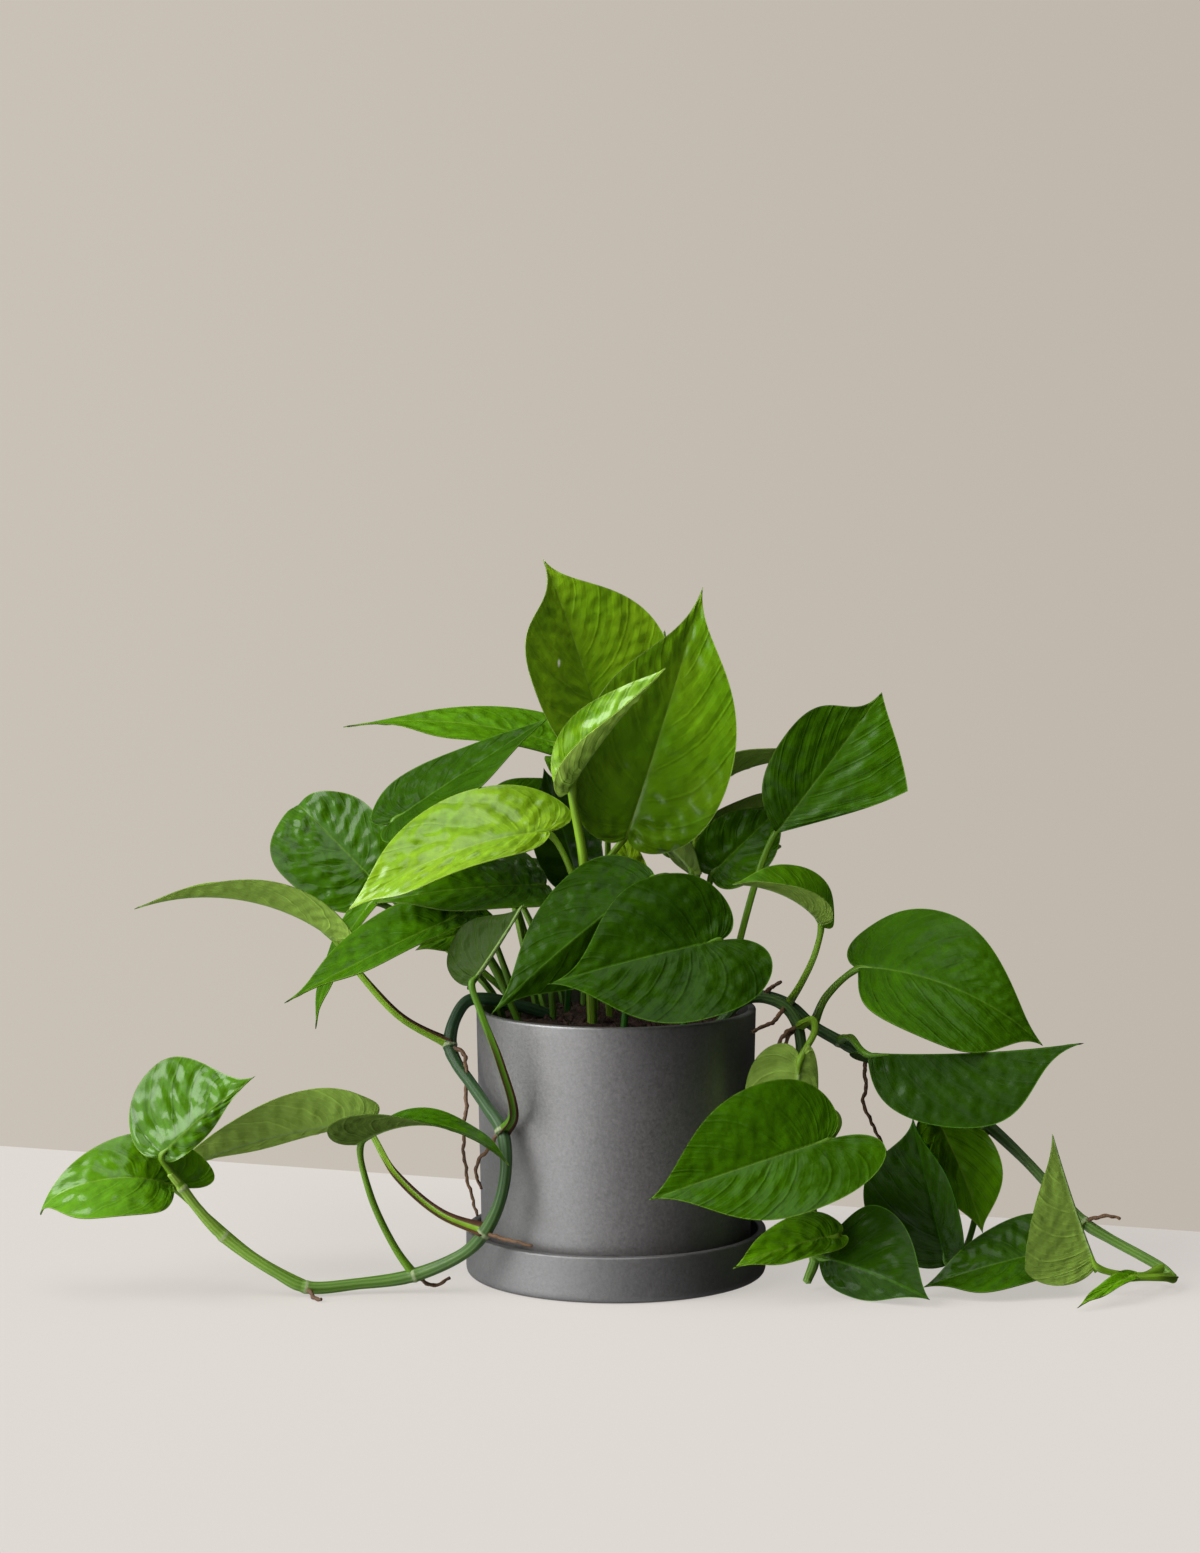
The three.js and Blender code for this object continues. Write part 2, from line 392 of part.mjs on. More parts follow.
// The blade: a grid of points on the upper side and the same grid on the underside, with the
// stalk's end and the tip as poles, split into triangles alike on both and joined at the margin.
function bladeOf(leaf, spine) {
  const { rows, thickness, smallHalf, smallColumns } = BLADE;
  const columns = Math.max(...leaf.half) < smallHalf ? smallColumns : BLADE.columns;
  const wide = 2 * columns + 1;
  const inner = rows - 1;
  const vertices = [];
  for (const lift of [thickness / 2, -thickness / 2]) {
    vertices.push(bladePoint(leaf, spine, 0, 0, lift));
    for (let i = 1; i <= inner; i++) {
      for (let j = -columns; j <= columns; j++) {
        vertices.push(bladePoint(leaf, spine, i / rows, j / columns, lift));
      }
    }
    vertices.push(bladePoint(leaf, spine, 1, 0, lift));
  }
  const layer = vertices.length / 2;
  const at = (i, j) => 1 + i * wide + j;
  const upper = [];
  const ring = [0];
  for (let j = 0; j < wide - 1; j++) {
    upper.push([0, at(0, j + 1), at(0, j)]);
    for (let i = 0; i < inner - 1; i++) {
      const [a, b, c, d] = [at(i, j), at(i, j + 1), at(i + 1, j + 1), at(i + 1, j)];
      upper.push(...(j < columns ? [[a, b, c], [a, c, d]] : [[a, b, d], [b, c, d]]));
    }
    upper.push([layer - 1, at(inner - 1, j), at(inner - 1, j + 1)]);
  }
  for (let i = 0; i < inner; i++) ring.push(at(i, 0));
  ring.push(layer - 1);
  for (let i = inner - 1; i >= 0; i--) ring.push(at(i, wide - 1));
  const triangles = [...upper, ...upper.map(([a, b, c]) => [a + layer, c + layer, b + layer])];
  ring.forEach((a, i) => {
    const b = ring[(i + 1) % ring.length];
    triangles.push([a, b, b + layer], [a, b + layer, a + layer]);
  });
  return solidFrom(vertices, triangles);
}

// The stalk's route, from the soil or the vine to its end under the midrib.
function stalkPath(leaf, spine) {
  const under = (x, depth) => {
    const { point, out } = spine(x);
    return point.addScaledVector(out, -depth).toArray();
  };
  return [
    ...leaf.stalk.map((point) => [...point, leaf.radius]),
    [...under(0, leaf.radius * 0.6), leaf.radius * 0.85],
    [...under(STALK.reachUnderBlade, 0.5), 0.5],
  ];
}

function fattened(path, extra) {
  return path.map(([x, y, z, radius]) => [x, y, z, radius + extra]);
}

const vineSolids = new Map();
for (const vine of VINES) {
  let solid = tube(vine.path, VINE.sides, VINE.stepsPerSpan);
  for (const root of vine.roots) solid = solid.add(tube(root, ROOT.sides, ROOT.stepsPerSpan));
  vineSolids.set(vine.name, solid);
}

const leafSolids = new Map();
const stemsInSoil = VINES.map((vine) => [vine.path, VINE]);
for (const row of LEAVES) {
  const leaf = { ...USUAL_LEAF, ...row };
  const spine = spineOf(leaf);
  const path = stalkPath(leaf, spine);
  let solid = bladeOf(leaf, spine).add(tube(path, STALK.sides, STALK.stepsPerSpan));
  if (leaf.vine) {
    const vine = VINES.find(({ name }) => name === leaf.vine);
    solid = solid.subtract(tube(fattened(vine.path, CLEARANCE), VINE.sides, VINE.stepsPerSpan));
  } else {
    stemsInSoil.push([path, STALK]);
  }
  leafSolids.set(leaf.name, { solid, young: leaf.young });
}

// Pot, saucer and soil

function makeSaucer() {
  const { radius, height, wall, floor, edge, lip, corner } = SAUCER;
  const inner = radius - wall;
  return turned([
    [0, 0], [radius - edge, 0], [radius - 0.3 * edge, 0.3 * edge], [radius, edge],
    [radius, height - lip], [radius - lip, height], [inner + lip, height], [inner, height - lip],
    [inner, floor + corner], [inner - corner, floor], [0, floor],
  ]);
}

function makePot() {
  const { rimRadius, footRadius, wall, floor, edge, lip, corner } = POT;
  const rimInner = rimRadius - wall;
  const footInner = footRadius - wall;
  const floorTop = POT_FOOT + floor;
  return turned([
    [0, POT_FOOT], [footRadius - edge, POT_FOOT], [footRadius, POT_FOOT + edge],
    [rimRadius, POT_RIM - lip], [rimRadius - lip, POT_RIM], [rimInner + lip, POT_RIM],
    [rimInner, POT_RIM - lip], [footInner, floorTop + corner], [footInner - corner, floorTop], [0, floorTop],
  ]);
}

function makeSoil() {
  const { edgeHeight, mound, shoulder } = SOIL;
  const { wall, floor, corner } = POT;
  const bottom = POT_FOOT + floor + CLEARANCE;
  const footEdge = POT.footRadius - wall - CLEARANCE;
  const topEdge = footEdge + 0.94 * (POT.rimRadius - POT.footRadius);
  let soil = turned([
    [0, bottom], [footEdge - corner, bottom], [footEdge, bottom + corner], [topEdge, edgeHeight],
    [shoulder * topEdge, edgeHeight + 0.6 * mound], [0, edgeHeight + mound],
  ]);
  for (const [path, { sides, stepsPerSpan }] of stemsInSoil) {
    const [[x, y, z, radius], ...above] = fattened(path, CLEARANCE);
    soil = soil.subtract(tube([[x, y, z - CLEARANCE, radius], ...above], sides, stepsPerSpan));
  }
  return soil;
}

// The plant in its pot

const pothos = new THREE.Group();
pothos.add(meshOf("saucer", makeSaucer(), MATERIALS.stoneware));
pothos.add(meshOf("pot", makePot(), MATERIALS.stoneware));
pothos.add(meshOf("soil", makeSoil(), MATERIALS.soil));
for (const [name, solid] of vineSolids) pothos.add(meshOf(name, solid, MATERIALS.vine));
for (const [name, { solid, young }] of leafSolids) {
  pothos.add(meshOf(name, solid, young ? MATERIALS.youngLeaf : MATERIALS.leaf));
}

export default pothos;
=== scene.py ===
# %% [markdown]
# # A jade pothos in a stoneware pot
#
# This lesson dresses a faceted model of a trailing house plant: a charcoal pot on its
# saucer, a crown of glossy heart-shaped leaves and three vines that creep over the rim.
# The model's own solids are the frame. Each piece below takes the place of one of them,
# keeps its form, and adds what the eye looks for: side veins, puckers, sheaths and crumbs.
#
# Lengths are in millimetres, as the solids' own dimensions are, and become metres
# only where a mesh is filled.

# %% The frame
import json

import bpy
import numpy as np
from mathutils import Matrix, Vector

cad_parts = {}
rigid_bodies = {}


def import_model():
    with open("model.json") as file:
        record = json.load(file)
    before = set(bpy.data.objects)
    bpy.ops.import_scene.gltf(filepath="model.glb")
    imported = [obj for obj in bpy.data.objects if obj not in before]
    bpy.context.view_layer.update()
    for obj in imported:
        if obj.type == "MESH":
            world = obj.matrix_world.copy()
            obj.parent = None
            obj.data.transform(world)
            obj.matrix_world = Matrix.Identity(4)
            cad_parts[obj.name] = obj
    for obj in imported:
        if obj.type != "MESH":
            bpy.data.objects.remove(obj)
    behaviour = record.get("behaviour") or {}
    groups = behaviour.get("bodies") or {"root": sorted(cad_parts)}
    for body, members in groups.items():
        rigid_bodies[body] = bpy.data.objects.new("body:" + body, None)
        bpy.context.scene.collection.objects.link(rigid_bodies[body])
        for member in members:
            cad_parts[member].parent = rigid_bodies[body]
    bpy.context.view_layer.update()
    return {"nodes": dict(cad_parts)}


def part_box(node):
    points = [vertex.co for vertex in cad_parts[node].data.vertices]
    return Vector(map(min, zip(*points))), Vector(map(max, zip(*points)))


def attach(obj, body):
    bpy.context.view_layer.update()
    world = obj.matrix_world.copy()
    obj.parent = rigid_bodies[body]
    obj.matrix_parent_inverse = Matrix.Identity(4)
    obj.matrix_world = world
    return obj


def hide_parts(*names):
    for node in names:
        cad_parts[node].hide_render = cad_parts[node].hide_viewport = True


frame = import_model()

MM = 0.001
print("nodes:", len(frame["nodes"]))

# %% [markdown]
# ## From arrays to a mesh
#
# A leaf here has thousands of points, so nothing loops over them. Shapes are worked out
# as whole numpy arrays and poured into the mesh with foreach_set, which is many times
# faster than adding points one by one. A grid of points becomes four-sided faces, and a
# pole, where a row shrinks to one point, becomes a fan of triangles.

# %% Faces between points


def grid_faces(rows, columns, first=0, closed=False, flipped=False):
    """Four-sided faces between neighbouring rows and columns of a grid of points.

    Point (i, j) has the number first + i * columns + j. A closed grid also joins the last
    column to the first one. Seen from outside, rows go up and columns go right.
    """
    i = np.arange(rows - 1)[:, None] * columns
    j = np.arange(columns if closed else columns - 1)[None, :]
    k = (j + 1) % columns
    corners = np.stack([i + j, i + k, i + k + columns, i + j + columns], -1)
    faces = first + corners.reshape(-1, 4)
    return faces[:, ::-1] if flipped else faces


def fan_faces(pole, ring, flipped=False):
    """Triangles from one point to each pair of neighbours in a row of points."""
    ring = np.asarray(ring)
    faces = np.stack([np.full(len(ring) - 1, pole), ring[:-1], ring[1:]], -1)
    return faces[:, ::-1] if flipped else faces


print("faces of a grid of 3 by 4 points:", len(grid_faces(3, 4)))

# %% [markdown]
# A mesh also carries values at its points, such as how far a point is from a leaf's
# midrib. Blender calls them attributes, and a material can read them, so a pattern follows
# the leaf however it bends. The class below gathers points, faces and values first and
# makes the mesh once, at the end.

# %% A shape that becomes a mesh


class Shape:
    """Points, faces and values per point that will become one mesh."""

    def __init__(self):
        self.points, self.faces, self.values, self.count = [], [], {}, 0

    def add(self, points, faces, finish=0, **values):
        """Add points (n, 3), lists of faces that number them from 0, and values per point."""
        points = np.asarray(points, float).reshape(-1, 3)
        for block in faces:
            self.faces.append((np.asarray(block) + self.count, finish))
        for key in {**self.values, **values}:
            column = self.values.setdefault(key, [np.zeros(self.count)])
            column.append(np.broadcast_to(np.ravel(values.get(key, 0.0)), len(points)))
        self.points.append(points)
        self.count += len(points)

    def to_object(self, name, finishes):
        """Pour the arrays into a mesh object: smooth faces, metres, placed in the mesh."""
        sizes = np.concatenate([np.full(len(block), block.shape[1]) for block, _ in self.faces])
        corners = np.concatenate([block.ravel() for block, _ in self.faces])
        looks = np.concatenate([np.full(len(block), finish) for block, finish in self.faces])
        mesh = bpy.data.meshes.new(name)
        mesh.vertices.add(self.count)
        mesh.vertices.foreach_set("co", (np.concatenate(self.points) * MM).ravel())
        mesh.loops.add(len(corners))
        mesh.loops.foreach_set("vertex_index", corners.astype(np.int32))
        mesh.polygons.add(len(sizes))
        mesh.polygons.foreach_set("loop_start", (np.cumsum(sizes) - sizes).astype(np.int32))
        mesh.polygons.foreach_set("material_index", looks.astype(np.int32))
        mesh.polygons.foreach_set("use_smooth", np.ones(len(sizes), bool))
        for key, column in self.values.items():
            layer = mesh.attributes.new(key, "FLOAT", "POINT")
            layer.data.foreach_set("value", np.concatenate(column).astype(np.float32))
        mesh.update(calc_edges=True)
        mesh.validate()
        made = bpy.data.objects.new(name, mesh)
        bpy.context.scene.collection.objects.link(made)
        for finish in finishes:
            mesh.materials.append(finish)
        return made


# %% [markdown]
# Every solid of the frame is one node, and its finer piece stands in for it: the solid is
# hidden, and the piece rides on the same body. The whole plant is one body, because
# nothing on it turns or slides.

# %% Dressing a node


def dress(shape, node, finishes):
    """Make a node's piece, hide the node, and say what the piece rides on and wears."""
    piece = shape.to_object(node + "_fine", finishes)
    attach(piece, "root")
    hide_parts(node)
    return piece


# %% [markdown]
# ## Tubes along a route
#
# Leaf stalks, vines and aerial roots are all the same shape: a ring carried along a
# curve. The curve is a centripetal Catmull-Rom spline, because it passes through every
# given point and never loops between two close ones. The ring's own directions are
# carried from station to station with as little twist as possible, so a groove along a
# stalk stays on the same side.

# %% A smooth route


def route(points, per_span):
    """Points of a centripetal Catmull-Rom spline, with further columns in straight steps.

    Each span's cubic has the slopes of the parabola through three neighbours whose
    distances are the square roots of those between the points.
    """
    points = np.asarray(points, float)
    places = points[:, :3]
    ends = 2 * places[[0, -1]] - places[[1, -2]]
    padded = np.concatenate([ends[:1], places, ends[1:]])
    where = np.linspace(0, len(points) - 1, (len(points) - 1) * per_span + 1)
    span = np.minimum(where.astype(int), len(points) - 2)
    u = (where - span)[:, None]
    a, b, c, d = (padded[span + k] for k in range(4))
    before, between, after = (
        np.sqrt(np.linalg.norm(q - p, axis=1))[:, None] for p, q in ((a, b), (b, c), (c, d)))
    slope_in = ((b - a) / before - (c - a) / (before + between) + (c - b) / between) * between
    slope_out = ((c - b) / between - (d - b) / (between + after) + (d - c) / after) * between
    place = (b + slope_in * u + (3 * (c - b) - 2 * slope_in - slope_out) * u ** 2
             + (2 * (b - c) + slope_in + slope_out) * u ** 3)
    others = (1 - u) * points[span, 3:] + u * points[span + 1, 3:]
    return np.concatenate([place, others], axis=1)


def distances_along(stations):
    """How far each station lies along its route."""
    steps = np.linalg.norm(np.diff(stations[:, :3], axis=0), axis=1)
    return np.concatenate([[0.0], np.cumsum(steps)])


print("stations on a route through 3 points:", len(route([(0, 0, 0), (1, 0, 0), (2, 1, 0)], 8)))

# %% Frames carried along a route


def unit(vectors):
    """Vectors shortened or stretched to a length of one."""
    return vectors / np.linalg.norm(vectors, axis=-1, keepdims=True)


def carried_frames(places, across):
    """Directions along a route and two directions across it, with little twist.

    At each station the last direction across is kept, less its part along the route.
    """
    along = unit(np.gradient(places, axis=0))
    sideways = np.empty_like(along)
    for k in range(len(along)):
        across = across - along[k] * (along[k] @ across)
        across = across / np.linalg.norm(across)
        sideways[k] = across
    return along, sideways, np.cross(along, sideways)


# %% Rings and tubes
POLE_BULGE = 0.5  # how far a tube's rounded end stands out, as a share of its radius


def turns(count):
    """Angles of so many points round a full turn."""
    return np.linspace(0, 2 * np.pi, count, endpoint=False)


def add_rings(shape, rings, poles, finish=0, **values):
    """Join closed rings, (rows, columns, 3), one after another, with a pole at each end.

    A value spreads over the rings, and each pole takes the value next to it.
    """
    rows, columns = rings.shape[:2]
    first = np.arange(columns)
    last = (rows - 1) * columns + first
    faces = [grid_faces(rows, columns, closed=True),
             fan_faces(rows * columns, np.append(first, 0), flipped=True),
             fan_faces(rows * columns + 1, np.append(last, last[0]))]
    spread = {key: np.concatenate([np.broadcast_to(value, (rows, columns)).ravel(),
                                   np.ravel(value)[[0, -1]]])
              for key, value in values.items()}
    shape.add(np.concatenate([rings.reshape(-1, 3), poles]), faces, finish, **spread)


def tube(shape, stations, across, sides, section, finish, **values):
    """Carry a ring along a route and close both ends with a rounded pole.

    section(turn, distance, length) gives the radius as a share of the route's own. A turn
    of 0 points along the direction across.
    """
    places, radius = stations[:, :3], stations[:, 3]
    along, side, other = carried_frames(places, np.asarray(across, float))
    distance = distances_along(stations)
    turn = turns(sides)[None, :]
    reach = radius[:, None] * section(turn, distance[:, None], distance[-1]) + 0 * turn
    rings = (places[:, None] + side[:, None] * (reach * np.cos(turn))[..., None]
             + other[:, None] * (reach * np.sin(turn))[..., None])
    poles = [places[0] - POLE_BULGE * radius[0] * along[0],
             places[-1] + POLE_BULGE * radius[-1] * along[-1]]
    add_rings(shape, rings, poles, finish, run=distance[:, None], **values)


print("degrees between the points of a ring of 24:", round(np.degrees(turns(24)[1]), 1))

# %% [markdown]
# ## The shape of a pothos leaf
#
# A pothos leaf is a heart with a drawn-out tip. Each half is one smooth outline, from the
# stalk round the back lobe to the tip, and the blade is spanned by straight lines from
# the midrib to that outline. The midrib bends under the blade's weight, the halves rise
# from it like a shallow gutter, and the margin ripples a little. Every leaf of the plant
# is this one formula with its own numbers, which is how a plant grows them as well.
#
# Where two numbers stand in brackets, the first is the left half's and the second the
# right half's, seen on the upper side with the tip ahead.

# %% The outline


def cubic(t, a, b, c, d):
    """A cubic Bezier curve from a to d with the handles b and c."""
    return (1 - t) ** 3 * a + 3 * (1 - t) ** 2 * t * b + 3 * (1 - t) * t ** 2 * c + t ** 3 * d


def outline(s, lobe, broad, corner, drawn):
    """Half a heart: the place along the blade and across it, as shares of its size.

    Two Bezier curves: from the stalk back round the lobe to the broadest place, and from
    there to the tip, which is drawn out to a thin point where drawn is 1. The bare numbers
    are the curves' handles. A corner draws both curves towards the straight lines between
    those places.
    """
    t = np.clip(2 * s, 0, 1)
    u = np.clip(2 * s - 1, 0, 1)
    along = np.where(s < 0.5, cubic(t, 0, -1.6 * lobe, -1.3 * lobe, broad),
                     cubic(u, broad, broad + 0.38, 0.8 - 0.12 * drawn, 1))
    across = np.where(s < 0.5, cubic(t, 0, 0.05, 1, 1), cubic(u, 1, 1, 0.16 * (1 - drawn), 0))
    straight = broad * t + (1 - broad) * u
    return along + corner * (straight - along), across + corner * (t - u - across)


print("broadest place of a half:", np.round(outline(np.array(0.5), 0.16, 0.28, 0, 0), 2))

# %% [markdown]
# The midrib isn't drawn point by point either. Its slope is a short formula of the place
# along the blade, and adding up the slopes gives the curve. That keeps the blade's length
# true however it bends, as in a real leaf, which droops and doesn't stretch.

# %% The midrib
HOOK_FROM = 0.65  # where the hooked end begins
SPINE_STEPS = 400  # stations along the midrib
SPINE_BEHIND = 0.35  # how far the midrib's curve carries on behind the stalk


class Midrib:
    """The curve that a blade is built on, in the leaf's own place on the plant."""

    def __init__(self, leaf):
        step = 1 / SPINE_STEPS
        self.x = np.arange(-round(SPINE_BEHIND / step), SPINE_STEPS + 1) * step
        self.leaf = leaf
        middle = self.droop(self.x[:-1] + step / 2)
        ahead, up = (np.concatenate([[0.0], np.cumsum(part)]) * step
                     for part in (np.cos(middle), np.sin(middle)))
        start = np.searchsorted(self.x, 0)
        ahead, up = ahead - ahead[start], up - up[start]
        size = np.hypot(ahead[-1], up[-1])
        c, s = ahead[-1] / size, up[-1] / size
        base, tip, face = (np.array(leaf[key], float) for key in ("base", "tip", "face"))
        self.u = unit(tip - base)
        self.n = unit(face - face @ self.u * self.u)
        self.left = np.cross(self.n, self.u)
        self.turned = (c, s)
        self.length = np.linalg.norm(tip - base) / size
        self.points = base + self.length * self.placed(ahead, up)

    def droop(self, x):
        """The midrib's slope: a steady bend, a hooked end, and lobes that turn up behind."""
        steady = np.radians(np.where(x < 0, self.leaf["rear"], -self.leaf["bend"])) * x
        end = np.clip((x - HOOK_FROM) / (1 - HOOK_FROM), 0, 1)
        return steady - np.radians(self.leaf["hook"]) * end ** 2

    def placed(self, ahead, up):
        """Turn a direction of the curve's plane so that the tip lies straight ahead."""
        c, s = self.turned
        return (self.u * np.asarray(ahead * c + up * s)[..., None]
                + self.n * np.asarray(up * c - ahead * s)[..., None])

    def at(self, x):
        """The point on the midrib at a place along the blade, and the way out of its face."""
        point = np.stack([np.interp(x, self.x, self.points[:, k]) for k in range(3)], -1)
        slope = self.droop(x)
        return point, self.placed(-np.sin(slope), np.cos(slope))


# %% [markdown]
# ## Veins and puckers
#
# What makes a blade read as a living leaf is the way it catches the light. The midrib
# lies in a groove on the upper side and stands out as a rib below, and between the side
# veins the blade swells into soft pillows and pleats. Sewing that relief into the mesh,
# rather than only into a bump, lets highlights break up along it from every side.

# %% The relief of a blade
VEINS = 8  # side veins in each half
SPRING = 0.13  # how far a side vein swings towards the tip on its way to the margin
PUCKER_WAVES = 7
PUCKER_LENGTH = (5.5, 11)  # shortest and longest wave
PILLOW, PLEAT, PUCKER, SWELL = 0.34, 0.2, 0.17, 0.3  # how high each kind of relief stands
SWELLS = [(9, 3, 1), (5, -7, 1), (17, 5, 0.6), (13, -11, 0.5)]  # lengthwise, across, height


def smooth_step(low, high, x):
    """0 below low, 1 above high, and an S-shaped rise between them."""
    x = np.clip((x - low) / (high - low), 0, 1)
    return x * x * (3 - 2 * x)


def vein_place(s, t):
    """Which side vein passes a point: whole numbers are veins, and halves lie between them.

    The count falls behind s by the square of the distance from the midrib, so the veins
    swing towards the tip. The right half is half a vein out of step with the left one.
    """
    swing = SPRING * t ** 2 * np.sin(np.pi * s)
    return VEINS * (s - swing) + np.where(t < 0, 0.0, 0.5)


def relief(leaf, s, t, along, across, seed):
    """How far the blade's middle layer stands off its plain form.

    Pillows between side veins, pleats twice as close that come and go in patches, and
    puckers as a sum of waves in seeded directions, all fading at the midrib and the
    margin, and slow swells with seeded phases.
    """
    chance = np.random.default_rng(seed)
    phase = chance.uniform(0, 2 * np.pi, 4)
    heading, shift = chance.uniform(0, 2 * np.pi, (2, PUCKER_WAVES))
    wave = chance.uniform(*PUCKER_LENGTH, PUCKER_WAVES)
    sideways = np.where(t < 0, across, -across)
    puckers = sum(np.sin(2 * np.pi * (sideways * np.cos(h) + along * np.sin(h)) / w + p)
                  for h, w, p in zip(heading, wave, shift))
    place = np.pi * vein_place(s, t)
    pillow = np.sin(place) ** 2 - 0.5
    pleat = np.sin(2 * place + 0.8 * np.sin(0.35 * across + phase[2])) ** 2 - 0.5
    patch = 0.6 + 0.4 * (np.sin(0.45 * sideways + 0.3 * along + phase[0])
                         * np.sin(0.4 * along + phase[1]))
    inner = smooth_step(0.02, 0.3, np.abs(t)) * (1 - smooth_step(0.75, 1.0, np.abs(t)))
    lengthwise = np.sin(np.pi * np.clip(s, 0, 1)) ** 0.5
    swell = sum(high * np.sin(a * s + b * t + p) for (a, b, high), p in zip(SWELLS, phase))
    fine = PILLOW * pillow + PLEAT * pleat * patch + PUCKER * puckers
    size = np.minimum(1, across / 6)
    return leaf["pucker"] * lengthwise * (fine * inner + SWELL * swell * size)


print("side veins:", 2 * VEINS)

# %% [markdown]
# The blade itself is one function of two parameters. It takes the midrib's point at a
# place along the leaf and goes out sideways to the outline, along an arc, so that a half
# can be folded up, gathered at its base or rolled in.

# %% A point of the blade
VEIN_SWEEP = 2.4  # how far ahead of the midrib a side vein meets the margin
RIPPLES = 2.5  # waves along each margin
FLATTEST = 1e-4  # the least curl, so that an arc never becomes a division by zero


def blade_point(leaf, midrib, s, t, lift, seed):
    """The blade as a function of two parameters, and of the height above its middle layer.

    s runs from the stalk to the tip, t from the left margin, -1, to the right one, 1.
    A point lies on an arc from the midrib to the outline. The arc sets out at the angle of
    the fold, which is steeper at the base by the gather, and turns by the curl. The ripple
    of the margin and the relief are added across it.
    """
    right = t >= 0
    sign = np.where(right, -1.0, 1.0)

    def half_of(key):
        return np.where(right, *np.broadcast_to(leaf[key], 2)[::-1].astype(float))

    half, curl = half_of("half"), np.radians(half_of("curl"))
    fold = np.radians(half_of("fold") + half_of("gather") * (1 - s) ** 2)
    form = [half_of(key) for key in ("lobe", "broad", "corner", "drawn")]
    edge_along, edge_across = outline(s, *form)
    vein = s ** VEIN_SWEEP
    x = vein + (edge_along - vein) * np.abs(t)
    across = edge_across * np.abs(t) * half
    per_mm = np.where(np.abs(curl) < FLATTEST, FLATTEST, curl) / half
    angle = fold + per_mm * across
    reach = (np.sin(angle) - np.sin(fold)) / per_mm
    ripple = (np.sin(2 * np.pi * (RIPPLES * s + 0.2 * right)) * np.abs(t) ** 3
              * np.sin(np.pi * s))
    rise = (np.cos(fold) - np.cos(angle)) / per_mm + ripple
    lift = lift + relief(leaf, s, t, x * midrib.length, across, seed)
    point, out = midrib.at(x)
    return (point + midrib.left * (sign * (reach - np.sin(angle) * lift))[..., None]
            + out * (rise + np.cos(angle) * lift)[..., None]), across


# %% [markdown]
# ## A blade as a closed mesh
#
# The blade is a real thin body, about three quarters of a millimetre thick: a grid for the
# upper side, the same grid for the underside, and a strip round the margin. At the stalk
# and at the tip a whole row meets in one point, which becomes the pole of a fan. Columns
# crowd at the midrib and at the margin, where the form changes fastest.

# %% Building a blade
THICKNESS = 0.75
EDGE_THINNING = 0.45  # how much thinner the blade is at its margin
ROWS, COLUMNS = 104, 19  # rows along a blade, and columns in each half
SMALL_HALF = 18  # a blade with narrower halves than this is a small one
SMALL_ROWS, SMALL_COLUMNS = 50, 13
GROOVE, GROOVE_DEPTH = 0.9, 0.45  # width and depth of the midrib's groove above
RIB = 1.0  # depth of the midrib's rib below
END_LIFTS = (0.1, -0.35)  # how far the upper and the lower layer stand apart at the ends


def distance_to_margin(upper, t, columns):
    """How far each point of the upper side lies from the margin.

    It is the part of the point's row that lies square to the margin.
    """
    margins = []
    for part, edge in ((slice(0, columns + 1), 0), (slice(columns + 1, None), -1)):
        row = upper[:, edge] - upper[:, columns]
        tangent = unit(np.gradient(upper[:, edge], axis=0))
        square = row - tangent * np.sum(row * tangent, -1, keepdims=True)
        width = np.linalg.norm(square, axis=-1)[:, None]
        margins.append(width * (1 - np.abs(t[:, part])))
    return np.concatenate(margins, axis=1)


def on_both(values, ends):
    """Values of the grid with those of the stalk end and the tip, for both sides."""
    one = np.concatenate([[ends[0]], values.ravel(), [ends[1]]])
    return np.concatenate([one, one])


